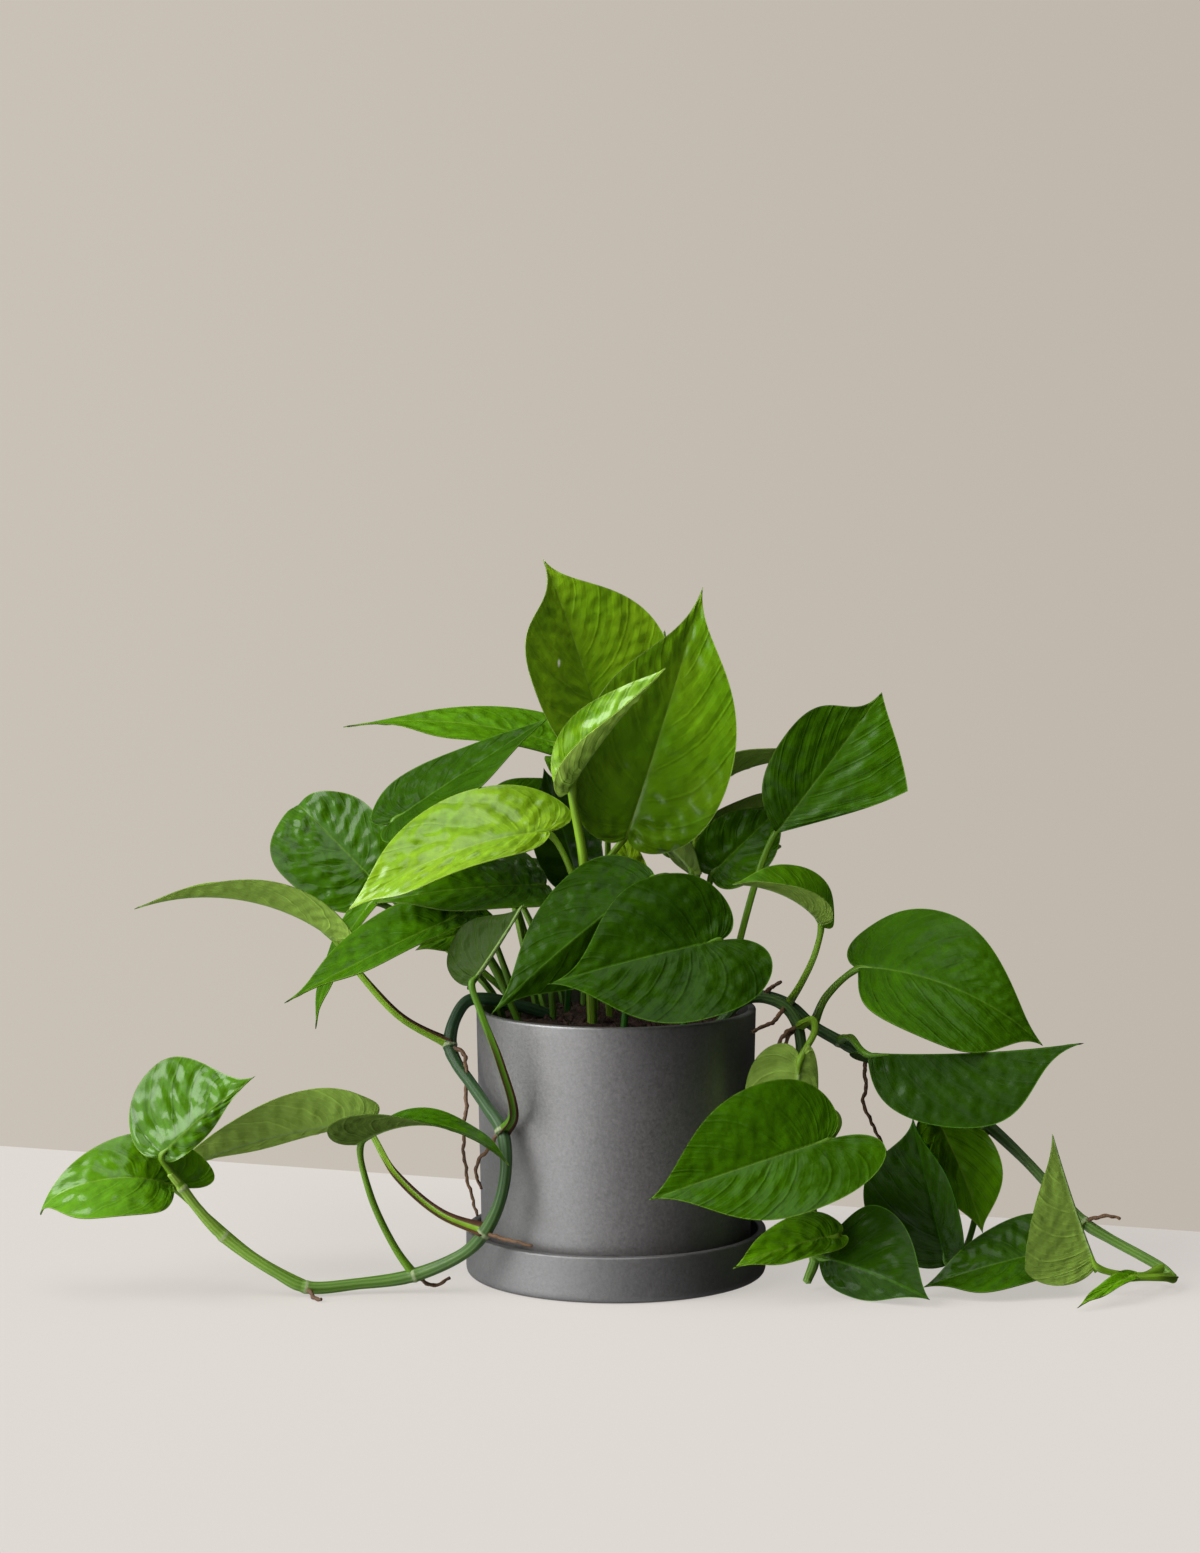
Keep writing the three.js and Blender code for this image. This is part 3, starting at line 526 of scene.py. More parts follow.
def add_blade(shape, leaf, midrib, seed):
    """Both sides of a blade, the strip round its margin, and the values its finish reads."""
    small = max(leaf["half"]) < SMALL_HALF
    rows, columns = (SMALL_ROWS, SMALL_COLUMNS) if small else (ROWS, COLUMNS)
    share = (1 - np.cos(np.pi * np.arange(columns + 1) / columns)) / 2
    t = np.concatenate([-share[:0:-1], share])
    wide = len(t)
    s = np.arange(1, rows)[:, None] / rows + 0 * t
    t = t + 0 * s
    half_thick = THICKNESS / 2 * (1 - EDGE_THINNING * np.abs(t) ** 10)
    _, across = blade_point(leaf, midrib, s, t, 0, seed)
    fade = (1 - s) ** 0.7
    groove = -GROOVE_DEPTH * np.exp(-(across / GROOVE) ** 2) * fade
    rib = -RIB * np.exp(-(across / (0.9 * GROOVE)) ** 2) * fade
    layers = []
    for lift, end_lift in zip((half_thick + groove, rib - half_thick), END_LIFTS):
        body, _ = blade_point(leaf, midrib, s, t, lift, seed)
        ends, _ = blade_point(leaf, midrib, np.array([0.0, 1.0]), np.zeros(2), end_lift, seed)
        layers.append(np.concatenate([ends[:1], body.reshape(-1, 3), ends[1:]]))
    count = len(layers[0])
    last = count - 1
    left_edge = 1 + np.arange(rows - 1) * wide
    sheet = [grid_faces(rows - 1, wide, first=1, flipped=True),
             fan_faces(0, 1 + np.arange(wide), flipped=True),
             fan_faces(last, left_edge[-1] + np.arange(wide))]
    ring = np.concatenate([[0], left_edge, [last], (left_edge + wide - 1)[::-1], [0]])
    strip = np.stack([ring[:-1], ring[1:], ring[1:] + count, ring[:-1] + count], -1)
    faces = sheet + [block[:, ::-1] + count for block in sheet] + [strip]
    margin = distance_to_margin(layers[0][1:-1].reshape(rows - 1, wide, 3), t, columns)
    tones = [leaf["tone"], leaf.get("below", leaf["tone"])]
    shape.add(np.concatenate(layers), faces, 0,
              rib=on_both(across, (0, 0)), margin=on_both(margin, (0, 0)),
              vein=on_both(vein_place(s, t), (0, VEINS)), ahead=on_both(s, (0, 1)),
              upper=np.repeat([1.0, 0.0], count), tone=np.repeat(tones, count),
              gloss=np.full(2 * count, leaf["gloss"]))


print("points on one side of a large blade:", (ROWS - 1) * (2 * COLUMNS + 1) + 2)

# %% [markdown]
# ## A leaf stalk
#
# A pothos stalk isn't a plain rod. It is gutter-shaped on the side that the leaf faces,
# and along the gutter run the two thin edges of a dry brown sheath that once wrapped the
# next leaf. It swells where it meets the blade and where it sits on the vine.

# %% Building a stalk
STALK_SIDES, STALK_STEPS = 24, 14
REACH_UNDER = 0.1  # how far a stalk runs on under the midrib, as a share of the blade
SHEATH_AT, SHEATH_WIDTH = 0.75, 0.16  # where the sheath's edge lies round the stalk
GUTTER_DEPTH, GUTTER_WIDTH = 0.2, 0.55
FOOT, FOOT_LENGTH = 0.45, 7  # the swelling on the vine
KNEE, KNEE_LENGTH, KNEE_AT = 0.2, 3.5, 0.12  # the swelling before the blade
PAINTED_FOOT_SHADE = 0.4  # painted shade: how much darker a stalk's green is where it leaves the soil, under the crown


def sheath_edge(turn):
    """Two thin edges, at either side of the gutter."""
    turn = np.minimum(turn, 2 * np.pi - turn)
    return np.exp(-((turn - SHEATH_AT) / SHEATH_WIDTH) ** 2)


def stalk_section(leaf, blade_length):
    """The stalk's section: a gutter between two sheath edges, swollen at both ends."""
    on_vine = leaf["on_vine"]

    def section(turn, distance, length):
        fold = np.minimum(turn, 2 * np.pi - turn)
        where = distance / length
        fading = 1 - smooth_step(0.45, 0.8, where)
        gutter = (-GUTTER_DEPTH * np.exp(-(fold / GUTTER_WIDTH) ** 2)
                  * (1 - 0.7 * smooth_step(0.8, 0.95, where)))
        wings = 0.6 * fading + on_vine * 0.9 * np.exp(-distance / (2 * FOOT_LENGTH))
        edges = leaf["sheath"] * sheath_edge(turn) * wings
        foot = on_vine * FOOT * np.exp(-distance / FOOT_LENGTH)
        before_knee = length - distance - KNEE_AT * blade_length
        knee = KNEE * np.exp(-(before_knee / KNEE_LENGTH) ** 2)
        return 1 + gutter + edges + foot + knee

    return section


def add_stalk(shape, leaf, midrib):
    """The stalk from the soil or the vine to its end under the midrib."""
    radius = leaf["radius"]
    path = [[*point, radius] for point in leaf["stalk"]]
    for x, depth, thin in ((0, 0.6 * radius, 0.85 * radius), (REACH_UNDER, 0.5, 0.5)):
        point, out = midrib.at(np.array(x, float))
        path.append([*(point - out * depth), thin])
    stations = route(path, STALK_STEPS)
    # the gutter faces the way the leaf does, so its direction is found at the blade's end
    gutter = np.array(leaf.get("gutter", -midrib.u + 0.3 * midrib.n))
    _, side, _ = carried_frames(stations[::-1, :3], gutter)
    distance = distances_along(stations)
    worn = 1 - smooth_step(0.4, 0.8, distance / distance[-1])
    brown = sheath_edge(turns(STALK_SIDES)) * leaf["sheath"] * worn[:, None]
    # painted shade: a stalk that stands in the soil darkens towards it, where the crown shades it
    stalk_foot_shade = PAINTED_FOOT_SHADE * (1 - leaf["on_vine"]) * (1 - smooth_step(15, 60, distance))
    tube(shape, stations, side[-1], STALK_SIDES, stalk_section(leaf, midrib.length), 1,
         brown=brown, tone=leaf["tone"] - stalk_foot_shade[:, None])


# %% [markdown]
# ## Shader maths as Python
#
# A material in Blender is a graph of nodes. Writing it node by node hides the idea, so a
# small class wraps a socket: adding, subtracting or multiplying two of them adds the Math
# node that does it. Everything that isn't plain arithmetic on numbers goes through one
# method, which sets a node's settings first and its sockets after.

# %% Sockets with arithmetic


class Wire:
    """One output of a node, on which Python's operators add Math nodes."""

    def __init__(self, finish, socket):
        self.finish, self.socket = finish, socket

    def maths(self, operation, *inputs):
        return self.finish.node("ShaderNodeMath", {"operation": operation}, inputs)

    def __add__(self, other):
        return self.maths("ADD", self, other)

    def __sub__(self, other):
        return self.maths("SUBTRACT", self, other)

    def __rsub__(self, other):
        return self.maths("SUBTRACT", other, self)

    def __mul__(self, other):
        return self.maths("MULTIPLY", self, other)

    __radd__, __rmul__ = __add__, __mul__

    def to_nearest(self):
        """The distance to the nearest whole number, from 0 to a half."""
        return self.maths("PINGPONG", self, 0.5)

    def rise(self, low, high):
        """0 at low and 1 at high, with an S-shaped rise; low may be the larger."""
        return self.finish.node("ShaderNodeMapRange", {"interpolation_type": "SMOOTHSTEP"},
                                {"Value": self, "From Min": low, "From Max": high})


# %% [markdown]
# The graph itself is wrapped as well, with one method for each thing that the finishes
# below ask for: a value of the mesh, noise, a mix, a ramp, a bump. The world's background
# is such a graph too, so the same class wires up the light behind the plant.

# %% A finish being wired up


class Finish:
    """The node graph of a material, or of the world, while it is being wired up."""

    def __init__(self, name, world=False):
        self.owner = (bpy.data.worlds if world else bpy.data.materials).new(name)
        self.owner.use_nodes = True
        self.tree = self.owner.node_tree
        self.tree.nodes.clear()
        self.output = "ShaderNodeOutputWorld" if world else "ShaderNodeOutputMaterial"

    def node(self, kind, settings=None, inputs=(), output=0):
        """Add a node: its settings first, then its sockets, by number or by name."""
        node = self.tree.nodes.new(kind)
        for key, value in (settings or {}).items():
            if key == "stops":
                ramp = node.color_ramp
                for place, _ in value[1:-1]:
                    ramp.elements.new(place)
                for element, (place, colour) in zip(ramp.elements, value):
                    element.position, element.color = place, (*colour, 1)
            else:
                setattr(node, key, value)
        pairs = inputs.items() if isinstance(inputs, dict) else enumerate(inputs)
        for key, value in pairs:
            if isinstance(value, Wire):
                self.tree.links.new(value.socket, node.inputs[key])
            else:
                node.inputs[key].default_value = value
        return Wire(self, node.outputs[output])

    def value(self, name):
        """A value that the mesh holds at each point."""
        return self.node("ShaderNodeAttribute", {"attribute_name": name}, output="Fac")

    def place(self):
        """The point's place on the object, in metres."""
        return self.node("ShaderNodeTexCoord", output="Object")

    def noise(self, scale, detail=2.0, roughness=0.5, at=None):
        """Smooth noise about 0.5, with this many features per metre."""
        return self.node("ShaderNodeTexNoise", {}, {
            "Vector": at or self.place(), "Scale": scale, "Detail": detail, "Roughness": roughness})

    def stretched(self, x, y, z):
        """The place with each direction scaled, so that noise becomes streaks."""
        return self.node("ShaderNodeMapping", {}, {"Vector": self.place(), "Scale": (x, y, z)})

    def mix(self, share, first, second):
        """The first colour where share is 0 and the second where it is 1."""
        colours = [c if isinstance(c, Wire) else (*c, 1) for c in (first, second)]
        return self.node("ShaderNodeMix", {"data_type": "RGBA", "clamp_factor": False},
                         {0: share, 6: colours[0], 7: colours[1]}, output=2)

    def vectors(self, operation, *inputs, output=0):
        """One step of vector maths."""
        return self.node("ShaderNodeVectorMath", {"operation": operation}, inputs, output)

    def shade(self, colour, share):
        """A colour made darker or lighter by a share that varies over the surface."""
        return self.node("ShaderNodeVectorMath", {"operation": "SCALE"},
                         {"Vector": colour, "Scale": share})

    def ramp(self, share, *stops):
        """A colour read from stops, each a place and a colour, from low to high."""
        return self.node("ShaderNodeValToRGB", {"stops": list(stops)}, [share])

    def mark(self, place, size):
        """1 inside a small ellipsoid round a place, and 0 outside it."""
        away = self.vectors("SUBTRACT", self.place(), place)
        away = self.vectors("DIVIDE", away, size)
        return self.vectors("LENGTH", away, output="Value").rise(1.1, 0.8)

    def bump(self, height, distance, strength=1.0):
        """A normal that tilts as if the surface stood this many metres high."""
        return self.node("ShaderNodeBump", {}, {
            "Height": height, "Distance": distance, "Strength": strength})

    def done(self, **sockets):
        """Close the material with one Principled shader."""
        named = {key.replace("_", " ").title().replace("Ior", "IOR"): value
                 for key, value in sockets.items()}
        return self.close(self.node("ShaderNodeBsdfPrincipled", {}, named, output="BSDF"))

    def close(self, shader):
        """Lead a shader to the output, and give back the material or the world."""
        end = self.tree.nodes.new(self.output)
        self.tree.links.new(shader.socket, end.inputs["Surface"])
        return self.owner


print("operators on a wire: + - *")

# %% [markdown]
# ## The leaf's skin
#
# A pothos leaf is waxy: a deep green under a clear gloss. Its side veins, midrib and
# margin are paler, its underside is a matt grey-green with fine parallel veins, and a new
# leaf is a bright yellow-green. One material makes them all from the values that the
# blade's mesh holds, with the leaf's age in the value tone. The gloss is a clear coat over
# a matt base, as wax over a leaf is, and its weight differs from leaf to leaf.

# %% Leaf colours
GREENS = [(0.0, (0.014, 0.045, 0.0006)), (0.3, (0.044, 0.135, 0.0008)),
          (0.6, (0.100, 0.270, 0.002)), (1.0, (0.31, 0.47, 0.012))]  # from old to new
PALE = (0.060, 0.165, 0.010), (0.36, 0.55, 0.06)  # midrib and margin, old and new
UNDER = (0.028, 0.056, 0.007), (0.34, 0.53, 0.08)  # the underside, old and new
RIB_BELOW = (0.24, 0.36, 0.11)
PALE_SPOT, PALE_SPOT_AT, PALE_SPOT_SIZE = (1.0, 0.95, 0.87), (-0.0266, 0.014, 0.2839), (0.0011, 0.012, 0.0029)
RING, RING_AT = (0.10, 0.11, 0.02), (0.0438, -0.060, 0.0700)
RING_OUTSIDE, RING_INSIDE = (0.003, 0.02, 0.003), (0.002, 0.02, 0.002)
print("stops from old to new:", len(GREENS))

# %% Leaf finish
VEIN_LINE, THREAD_LINE = 0.085, 0.2  # half widths of a side vein and of a fine one, as shares
RELIEF_HEIGHT = 0.0007


def leaf_finish():
    """Both sides of a leaf.

    The green is read from the leaf's age, lighter along soft streaks that run with the side
    veins, and darker towards each side vein: painted shade, as in the grooves between the
    pillows. Side veins, midrib and margin mix in a paler green. The underside is mixed from
    its own two greens, and upper chooses between the sides.
    """
    skin = Finish("leaf skin")
    tone, upper = skin.value("tone"), skin.value("upper")
    vein, rib, margin, ahead = (skin.value(name) for name in ("vein", "rib", "margin", "ahead"))
    mottle, fine, puckers = skin.noise(45, 3), skin.noise(260, 3), skin.noise(190, 1)
    lay = skin.node("ShaderNodeCombineXYZ", {}, [vein * 11, rib * 0.45, tone * 50 + upper * 20])
    streak = skin.noise(0.24, 1, at=lay)
    off_rib = rib.rise(0.5, 5)
    vein = vein + (mottle - 0.5) * 0.3
    apart = vein.to_nearest()
    line = apart.rise(VEIN_LINE, 0.0) * off_rib
    thread = (vein * 4).to_nearest().rise(THREAD_LINE, 0.0) * off_rib

    green = skin.ramp(tone + (mottle - 0.5) * 0.22, *GREENS)
    # painted shade: the green darkens towards each side vein, as in the shade of the grooves
    # between the pillows
    green = skin.shade(green, 0.62 + fine * 0.2 + apart * 0.36 + streak * 0.36)
    top = skin.mix(line * 0.16, green, skin.shade(green, 1.8))
    pale = skin.mix(tone, *PALE)
    top = skin.mix(rib.rise(0.75, 0.25) * (1 - ahead * 0.6) * 0.65, top, pale)
    top = skin.mix(margin.rise(0.6, 0.2) * 0.6, top, pale)

    # the underside's green is mixed without a clamp, so a below over 1 paints light on it
    under = skin.shade(skin.mix(tone, *UNDER), 0.88 + mottle * 0.24)
    under = skin.mix(line * 0.5 + thread * 0.3, under, skin.shade(under, 1.35))
    under = skin.mix(rib.rise(1.1, 0.4) * 0.7, under, RIB_BELOW)

    # a near-white spot painted on one leaf, and the ring that an insect left on another
    colour = skin.mix(skin.mark(PALE_SPOT_AT, PALE_SPOT_SIZE), skin.mix(upper, under, top), PALE_SPOT)
    ring = skin.mark(RING_AT, RING_OUTSIDE) - skin.mark(RING_AT, RING_INSIDE)
    colour = skin.mix(ring * 0.55, colour, RING)
    height = puckers * 1.6 + streak * 1.4 + fine * 0.4 - line * 0.3 - thread * 0.1
    return skin.done(base_color=colour, roughness=0.44 - upper * 0.2 + fine * 0.1,
                     normal=skin.bump(height, RELIEF_HEIGHT, 0.8), specular_ior_level=0.04,
                     coat_weight=skin.value("gloss") * (0.3 + upper * 0.7), coat_roughness=0.18)


LEAF_SKIN = leaf_finish()
print("finish:", LEAF_SKIN.name)

# %% [markdown]
# A stalk is the leaf's green with soft streaks, and brown where the edges of the old
# sheath have dried.

# %% Stalk finish
STALK_GREENS = (0.070, 0.17, 0.008), (0.22, 0.39, 0.02)  # old and new
DRY_SHEATH = (0.030, 0.010, 0.005), (0.12, 0.05, 0.02)


def stalk_finish():
    """Green mixed by the stalk's age, and brown where the value brown rises over a half."""
    skin = Finish("stalk skin")
    tone, brown = skin.value("tone"), skin.value("brown")
    streak = skin.noise(34, 1, at=skin.stretched(6, 6, 1))
    mottle = skin.noise(90, 1)
    green = skin.shade(skin.mix(tone, *STALK_GREENS), 0.75 + streak * 0.5)
    dried = (brown * 3 + (mottle - 0.5) * 0.25).rise(0.5, 0.9)
    colour = skin.mix(dried, green, skin.mix(streak, *DRY_SHEATH))
    return skin.done(base_color=colour, roughness=0.36 + brown * 0.4, specular_ior_level=0.25,
                     normal=skin.bump(streak, 0.0002, 0.3))


STALK_SKIN = stalk_finish()
print("finish:", STALK_SKIN.name)

# %% [markdown]
# ## The leaves of this plant
#
# Each row is one leaf: where its stalk meets the blade, where its tip is, which way it
# faces, the width of each half, and where it differs from the usual leaf:
#
# - lobe is how far it reaches back, broad is where it is broadest, corner pulls the
#   outline straight, and drawn draws out the tip
# - bend, hook and rear bend the midrib, at an even rate, near the tip and behind the stalk
# - fold raises a half from the midrib, gather does so at the base alone, and curl rolls it
# - stalk is the route up to the blade, and gutter the side that its gutter faces
#
# The rest is for the looks alone: tone is the age, from dark and old to bright and new,
# and below the same for the underside, gloss is the wax, pucker the height of the pillows,
# and sheath how much dry brown edge the stalk still wears. A tone under 0 lies past the
# oldest green and adds painted shade to a leaf that lies in shade; a below over 1 lies past
# the newest green and paints light on an underside that faces away from the lamps.

# %% Leaf table
USUAL_LEAF = dict(
    half=[30, 30], lobe=0.16, broad=[0.28, 0.28], corner=0, drawn=0, bend=20, hook=0, rear=40,
    fold=[12, 12], gather=0, curl=[0, 0], radius=1.6,
    tone=0.3, gloss=0.3, pucker=0.9, sheath=0.35)

LEAVES = [
    # the crown, from the top down
    dict(name="crown_leaf_1", base=[-6, 22, 250], tip=[-34, 22, 332], face=[0.5, -0.85, 0.2],
         half=[38, 42], lobe=0.1, broad=[0.42, 0.36], drawn=[0.8, 0.2], bend=12, fold=[20, 18],
         stalk=[[-10, 20, 104], [-9, 22, 180]], tone=0.74, gloss=1, pucker=1.3),
    dict(name="crown_leaf_2", base=[5, -8, 206], tip=[40, 2, 320], face=[0.35, -0.9, 0.25],
         half=[40, 37], lobe=0.06, broad=[0.3, 0.32], drawn=[0.7, 0.3], bend=10, fold=[14, 14],
         stalk=[[-2, -3, 104], [-5, -6, 190]], tone=0.66, gloss=1, pucker=1.3),
    # its below of 1.7 lies past the newest green: painted light on the rolled band that faces away
    # from the lamps
    dict(name="crown_leaf_3", base=[-21, -30, 231], tip=[22, -42, 285], face=[-0.6, -0.5, 0.6],
         half=[17, 26], lobe=0.08, bend=14, fold=[30, 30], curl=[40, 40], radius=2.3,
         stalk=[[-10, -22, 104], [-15, -25, 194]], tone=0.72, below=1.7, gloss=0.7, pucker=1.3),
    dict(name="crown_leaf_4", base=[-24, 50, 242], tip=[-129, 42, 252], face=[0, -0.3, 0.95],
         half=[32, 25], broad=[0.28, 0.12], drawn=[1, 1], bend=30, fold=[8, 8],
         stalk=[[-16, 40, 104], [-14, 50, 190]], tone=0.47, gloss=0.2, pucker=1.2),
    dict(name="crown_leaf_5", base=[-104, 4, 211], tip=[-31, 8, 259], face=[-0.57, -0.54, 0.61],
         half=[19, 27], lobe=0.1, broad=[0.15, 0.2], bend=2,
         stalk=[[-40, 16, 104], [-50, 16, 130], [-86, 10, 186]], tone=0.08, gloss=0),
    dict(name="crown_leaf_6", base=[-31, -22, 209], tip=[-122, -48, 175],
         face=[-0.1, -0.6, 0.75], half=[15, 30], lobe=[0, 0.16], broad=[0.45, 0.28], bend=45,
         fold=[4, 12], stalk=[[-10, -15, 104], [-18, -20, 182]], tone=0.78, gloss=0.75,
         pucker=1.25),
    dict(name="crown_leaf_7", base=[-114, 30, 180], tip=[-151, 58, 212],
         face=[-0.2, -0.85, 0.45], half=[30, 23], broad=[0.5, 0.42], bend=10, hook=100,
         stalk=[[-44, 28, 104], [-50, 28, 124], [-64, 28, 138], [-96, 30, 163]], tone=0.22,
         gloss=0.3, pucker=1.5),
    dict(name="crown_leaf_8", base=[-72, -20, 170], tip=[-150, -50, 134], face=[-0.3, -0.5, 0.8],
         half=[14, 22], lobe=0.1, drawn=[0.4, 0.5], bend=8,
         stalk=[[-38, -15, 104], [-58, -16, 148]], tone=0.27, gloss=0.14),
    dict(name="crown_leaf_9", base=[-114, 16, 172], tip=[-141, 14, 112], face=[-0.8, -0.5, 0.3],
         half=[10, 8], bend=40, stalk=[[-50, 6, 104], [-58, 7, 130], [-98, 14, 164]], tone=0.3,
         gloss=0),
    dict(name="crown_leaf_10", base=[-33, -4, 182], tip=[-111, -24, 176], face=[0, -0.5, 0.85],
         half=[26, 26], lobe=0.03, bend=16, stalk=[[-28, -1, 104], [-32, -2, 160]], tone=0.33,
         gloss=0.7),
    dict(name="crown_leaf_11", base=[17, -38, 190], tip=[-57, -62, 130], face=[-0.3, -0.8, 0.5],
         half=[27, 26], lobe=[0.1, 0.02], drawn=[0.5, 0.5], bend=16, fold=[-55, 8],
         stalk=[[2, -32, 104], [8, -32, 160]], tone=0.04, gloss=0.04),
    dict(name="crown_leaf_12", base=[47, -52, 163], tip=[-31, -74, 146], face=[0, -0.9, 0.4],
         half=[36, 35], lobe=[0.24, 0.12], drawn=[0.2, 1], bend=20, fold=[6, 6],
         stalk=[[22, -38, 104], [36, -44, 135]], tone=0.04, gloss=0.05, pucker=1.1),
    dict(name="crown_leaf_13", base=[42, 25, 224], tip=[101, 30, 236], face=[0.1, 0.3, 0.95],
         half=[20, 20], bend=50, stalk=[[28, 26, 104], [34, 26, 170]], tone=0.85, gloss=0.1),
    dict(name="crown_leaf_14", base=[40, 44, 192], tip=[85, 50, 221], face=[-0.5, 0.4, 0.8],
         half=[20, 20], bend=20, stalk=[[24, 44, 104], [32, 46, 160]], tone=0.85, gloss=0.1),
    dict(name="crown_leaf_15", base=[74, 5, 205], tip=[123, 5, 271], face=[0.2, -0.9, 0.3],
         half=[25, 37], lobe=[-0.03, 0], broad=[0.5, 0.64], corner=[0, 0.9], drawn=[0.6, 0],
         bend=14, stalk=[[46, -4, 104], [56, 0, 150], [68, 5, 192]], tone=0.18, gloss=0.12,
         pucker=1.1),
    dict(name="crown_leaf_16", base=[45, 12, 186], tip=[80, 36, 216], face=[0.1, -0.8, 0.5],
         half=[17, 18], lobe=0.08, bend=16, stalk=[[36, 18, 104], [41, 14, 150]], tone=0.2,
         gloss=0.1),
    dict(name="crown_leaf_17", base=[36, 6, 187], tip=[13, 24, 206], face=[0.3, 0.6, 0.7],
         half=[14, 14], bend=20, stalk=[[18, 2, 104], [32, 4, 150]], tone=0.3),
    dict(name="crown_leaf_18", base=[7, -5, 180], tip=[3, 8, 206], face=[0.3, -0.8, 0.4],
         half=[9, 9], bend=10, stalk=[[8, 8, 104], [8, 2, 150]], tone=0.8),
    dict(name="crown_leaf_19", base=[-60, 8, 161], tip=[-93, -6, 152], face=[0, -0.7, 0.7],
         half=[13, 13], bend=20, stalk=[[-41, 11, 104], [-51, 11, 138]], tone=0.4),
    dict(name="crown_leaf_20", base=[-19, 14, 186], tip=[-34, 26, 234], face=[0, -0.9, 0.3],
         half=[16, 16], bend=12, stalk=[[-24, 14, 104], [-21, 14, 150]], tone=0.0),
    dict(name="crown_leaf_21", base=[-58, 38, 208], tip=[-24, 38, 227], face=[0, -0.6, 0.7],
         half=[14, 14], bend=20, stalk=[[-34, 26, 104], [-46, 36, 160]], tone=0.3),
    # the left vine's leaves, from the rim outwards
    dict(name="left_vine_leaf_1", base=[-128, -3, 155], tip=[-222, -12, 172],
         face=[0.15, -0.1, 1], half=[21, 14], lobe=0.08, drawn=[0.5, 0.5], bend=60, rear=200,
         fold=[42, 32], stalk=[[-77, -9, 108], [-100, -8, 121], [-119, -4, 141]], tone=0.68,
         gloss=0.1, sheath=1.0),
    dict(name="left_vine_leaf_2", base=[-65, -50, 143], tip=[-42, -50, 179],
         face=[0.5, 0.6, 0.2], half=[9, 23], lobe=0.1, drawn=[0.5, 0.5], bend=16, fold=[120, 10],
         stalk=[[-52, -47, 75], [-47, -54, 84], [-53, -58, 109], [-61, -55, 130]],
         gutter=[0.3, -0.9, 0.3], tone=0, gloss=0.1, sheath=1.0),
    dict(name="left_vine_leaf_3", base=[-117, -20, 74], tip=[-212, -14, 46], face=[0, 0.45, 0.9],
         half=[26, 24], lobe=[0.11, 0.06], broad=[0.16, 0.3], bend=24, rear=100, fold=[22, 10],
         stalk=[[-60, -57, 30], [-80, -50, 37], [-101, -34, 52]], gutter=[0.2, -0.8, 0.6],
         tone=0.8, gloss=0.2, sheath=1.4),
    dict(name="left_vine_leaf_4", base=[-116, -54, 71], tip=[-48, -68, 63], face=[0, -0.02, 1],
         half=[20, 30], lobe=[0.06, 0.12], broad=[0.28, 0.24], bend=84, rear=60, fold=[8, 8],
         gather=[0, 60], stalk=[[-92, -47, 8.5], [-101, -48, 22], [-112, -52, 48]], tone=0.22,
         gloss=0.1, sheath=0.1),
    dict(name="left_vine_leaf_5", base=[-205, -64, 67], tip=[-162, -64, 103],
         face=[-0.3, -0.8, 0.5], half=[34, 8], lobe=[0.14, 0.02], broad=[0.4, 0.2],
         drawn=[0.6, 0.6], bend=16, fold=[8, -40], stalk=[[-196, -58, 51], [-201, -60, 59]],
         tone=0.38, gloss=0.5, pucker=1.4, sheath=0.1),
    dict(name="left_vine_leaf_6", base=[-202, -46, 50], tip=[-262, -46, 36],
         face=[-0.1, -0.7, 0.7], half=[25, 23], lobe=[0, 0.3], broad=[0.36, 0.14],
         drawn=[0.6, 0.6], bend=100, hook=20,
         stalk=[[-141, -53, 4.4], [-166, -44, 17], [-190, -44, 38]], tone=0.5, gloss=0.45,
         sheath=0.3),
    # the right vine's leaves, from the rim outwards; 4 to 8 grow on the hanging vine
    dict(name="right_vine_leaf_1", base=[95, -15, 165], tip=[53, -25, 185],
         face=[0.2, -0.5, 0.85], half=[14, 25], lobe=[0, 0.16], broad=[0.28, 0.2], bend=60,
         fold=[60, 10], stalk=[[80, 4, 125], [86, -6, 137], [92, -13, 152]], tone=0.45,
         gloss=0.2, pucker=0.3),
    dict(name="right_vine_leaf_2", base=[112, -5, 144], tip=[196, -22, 110],
         face=[0.3, -0.7, 0.7], half=[40, 36], lobe=[0.1, -0.02], broad=[0.28, 0.46],
         drawn=[0.4, 0], bend=60, fold=[4, 0], stalk=[[92, 4, 115], [98, -2, 130]], tone=0.17,
         gloss=0.06, pucker=1.1),
    dict(name="right_vine_leaf_3", base=[115, -30, 108], tip=[211, -52, 116],
         face=[0, -0.3, 0.95], half=[20, 34], lobe=[0.1, 0], broad=[0.3, 0.42], drawn=[0.4, 0.6],
         bend=-12, fold=[-40, -60], stalk=[[104, 4, 108], [108, -12, 112]], tone=0, gloss=0.1),
    dict(name="right_vine_leaf_4", base=[95, -62, 74], tip=[14, -90, 52], face=[0, -0.9, 0.3],
         half=[29, 33], lobe=[0.27, 0.1], drawn=[0.3, 0], bend=14, fold=[8, 8],
         stalk=[[87, -18, 78], [98, -34, 82], [100, -52, 78]], tone=0.22, gloss=0.1, pucker=0.5),
    dict(name="right_vine_leaf_5", base=[83, -46, 107], tip=[78, -53, 42], face=[0, 0.95, 0.1],
         half=[24, 10], lobe=0.12, bend=10,
         stalk=[[84, -10, 117], [90, -22, 122], [90, -36, 118]], tone=0.6, gloss=0.1),
    dict(name="right_vine_leaf_6", base=[69, -20, 97], tip=[70, -28, 48], face=[0.77, -0.64, 0],
         half=[8, 20], bend=-10, stalk=[[86, -14, 98], [78, -15, 101]], tone=0.3),
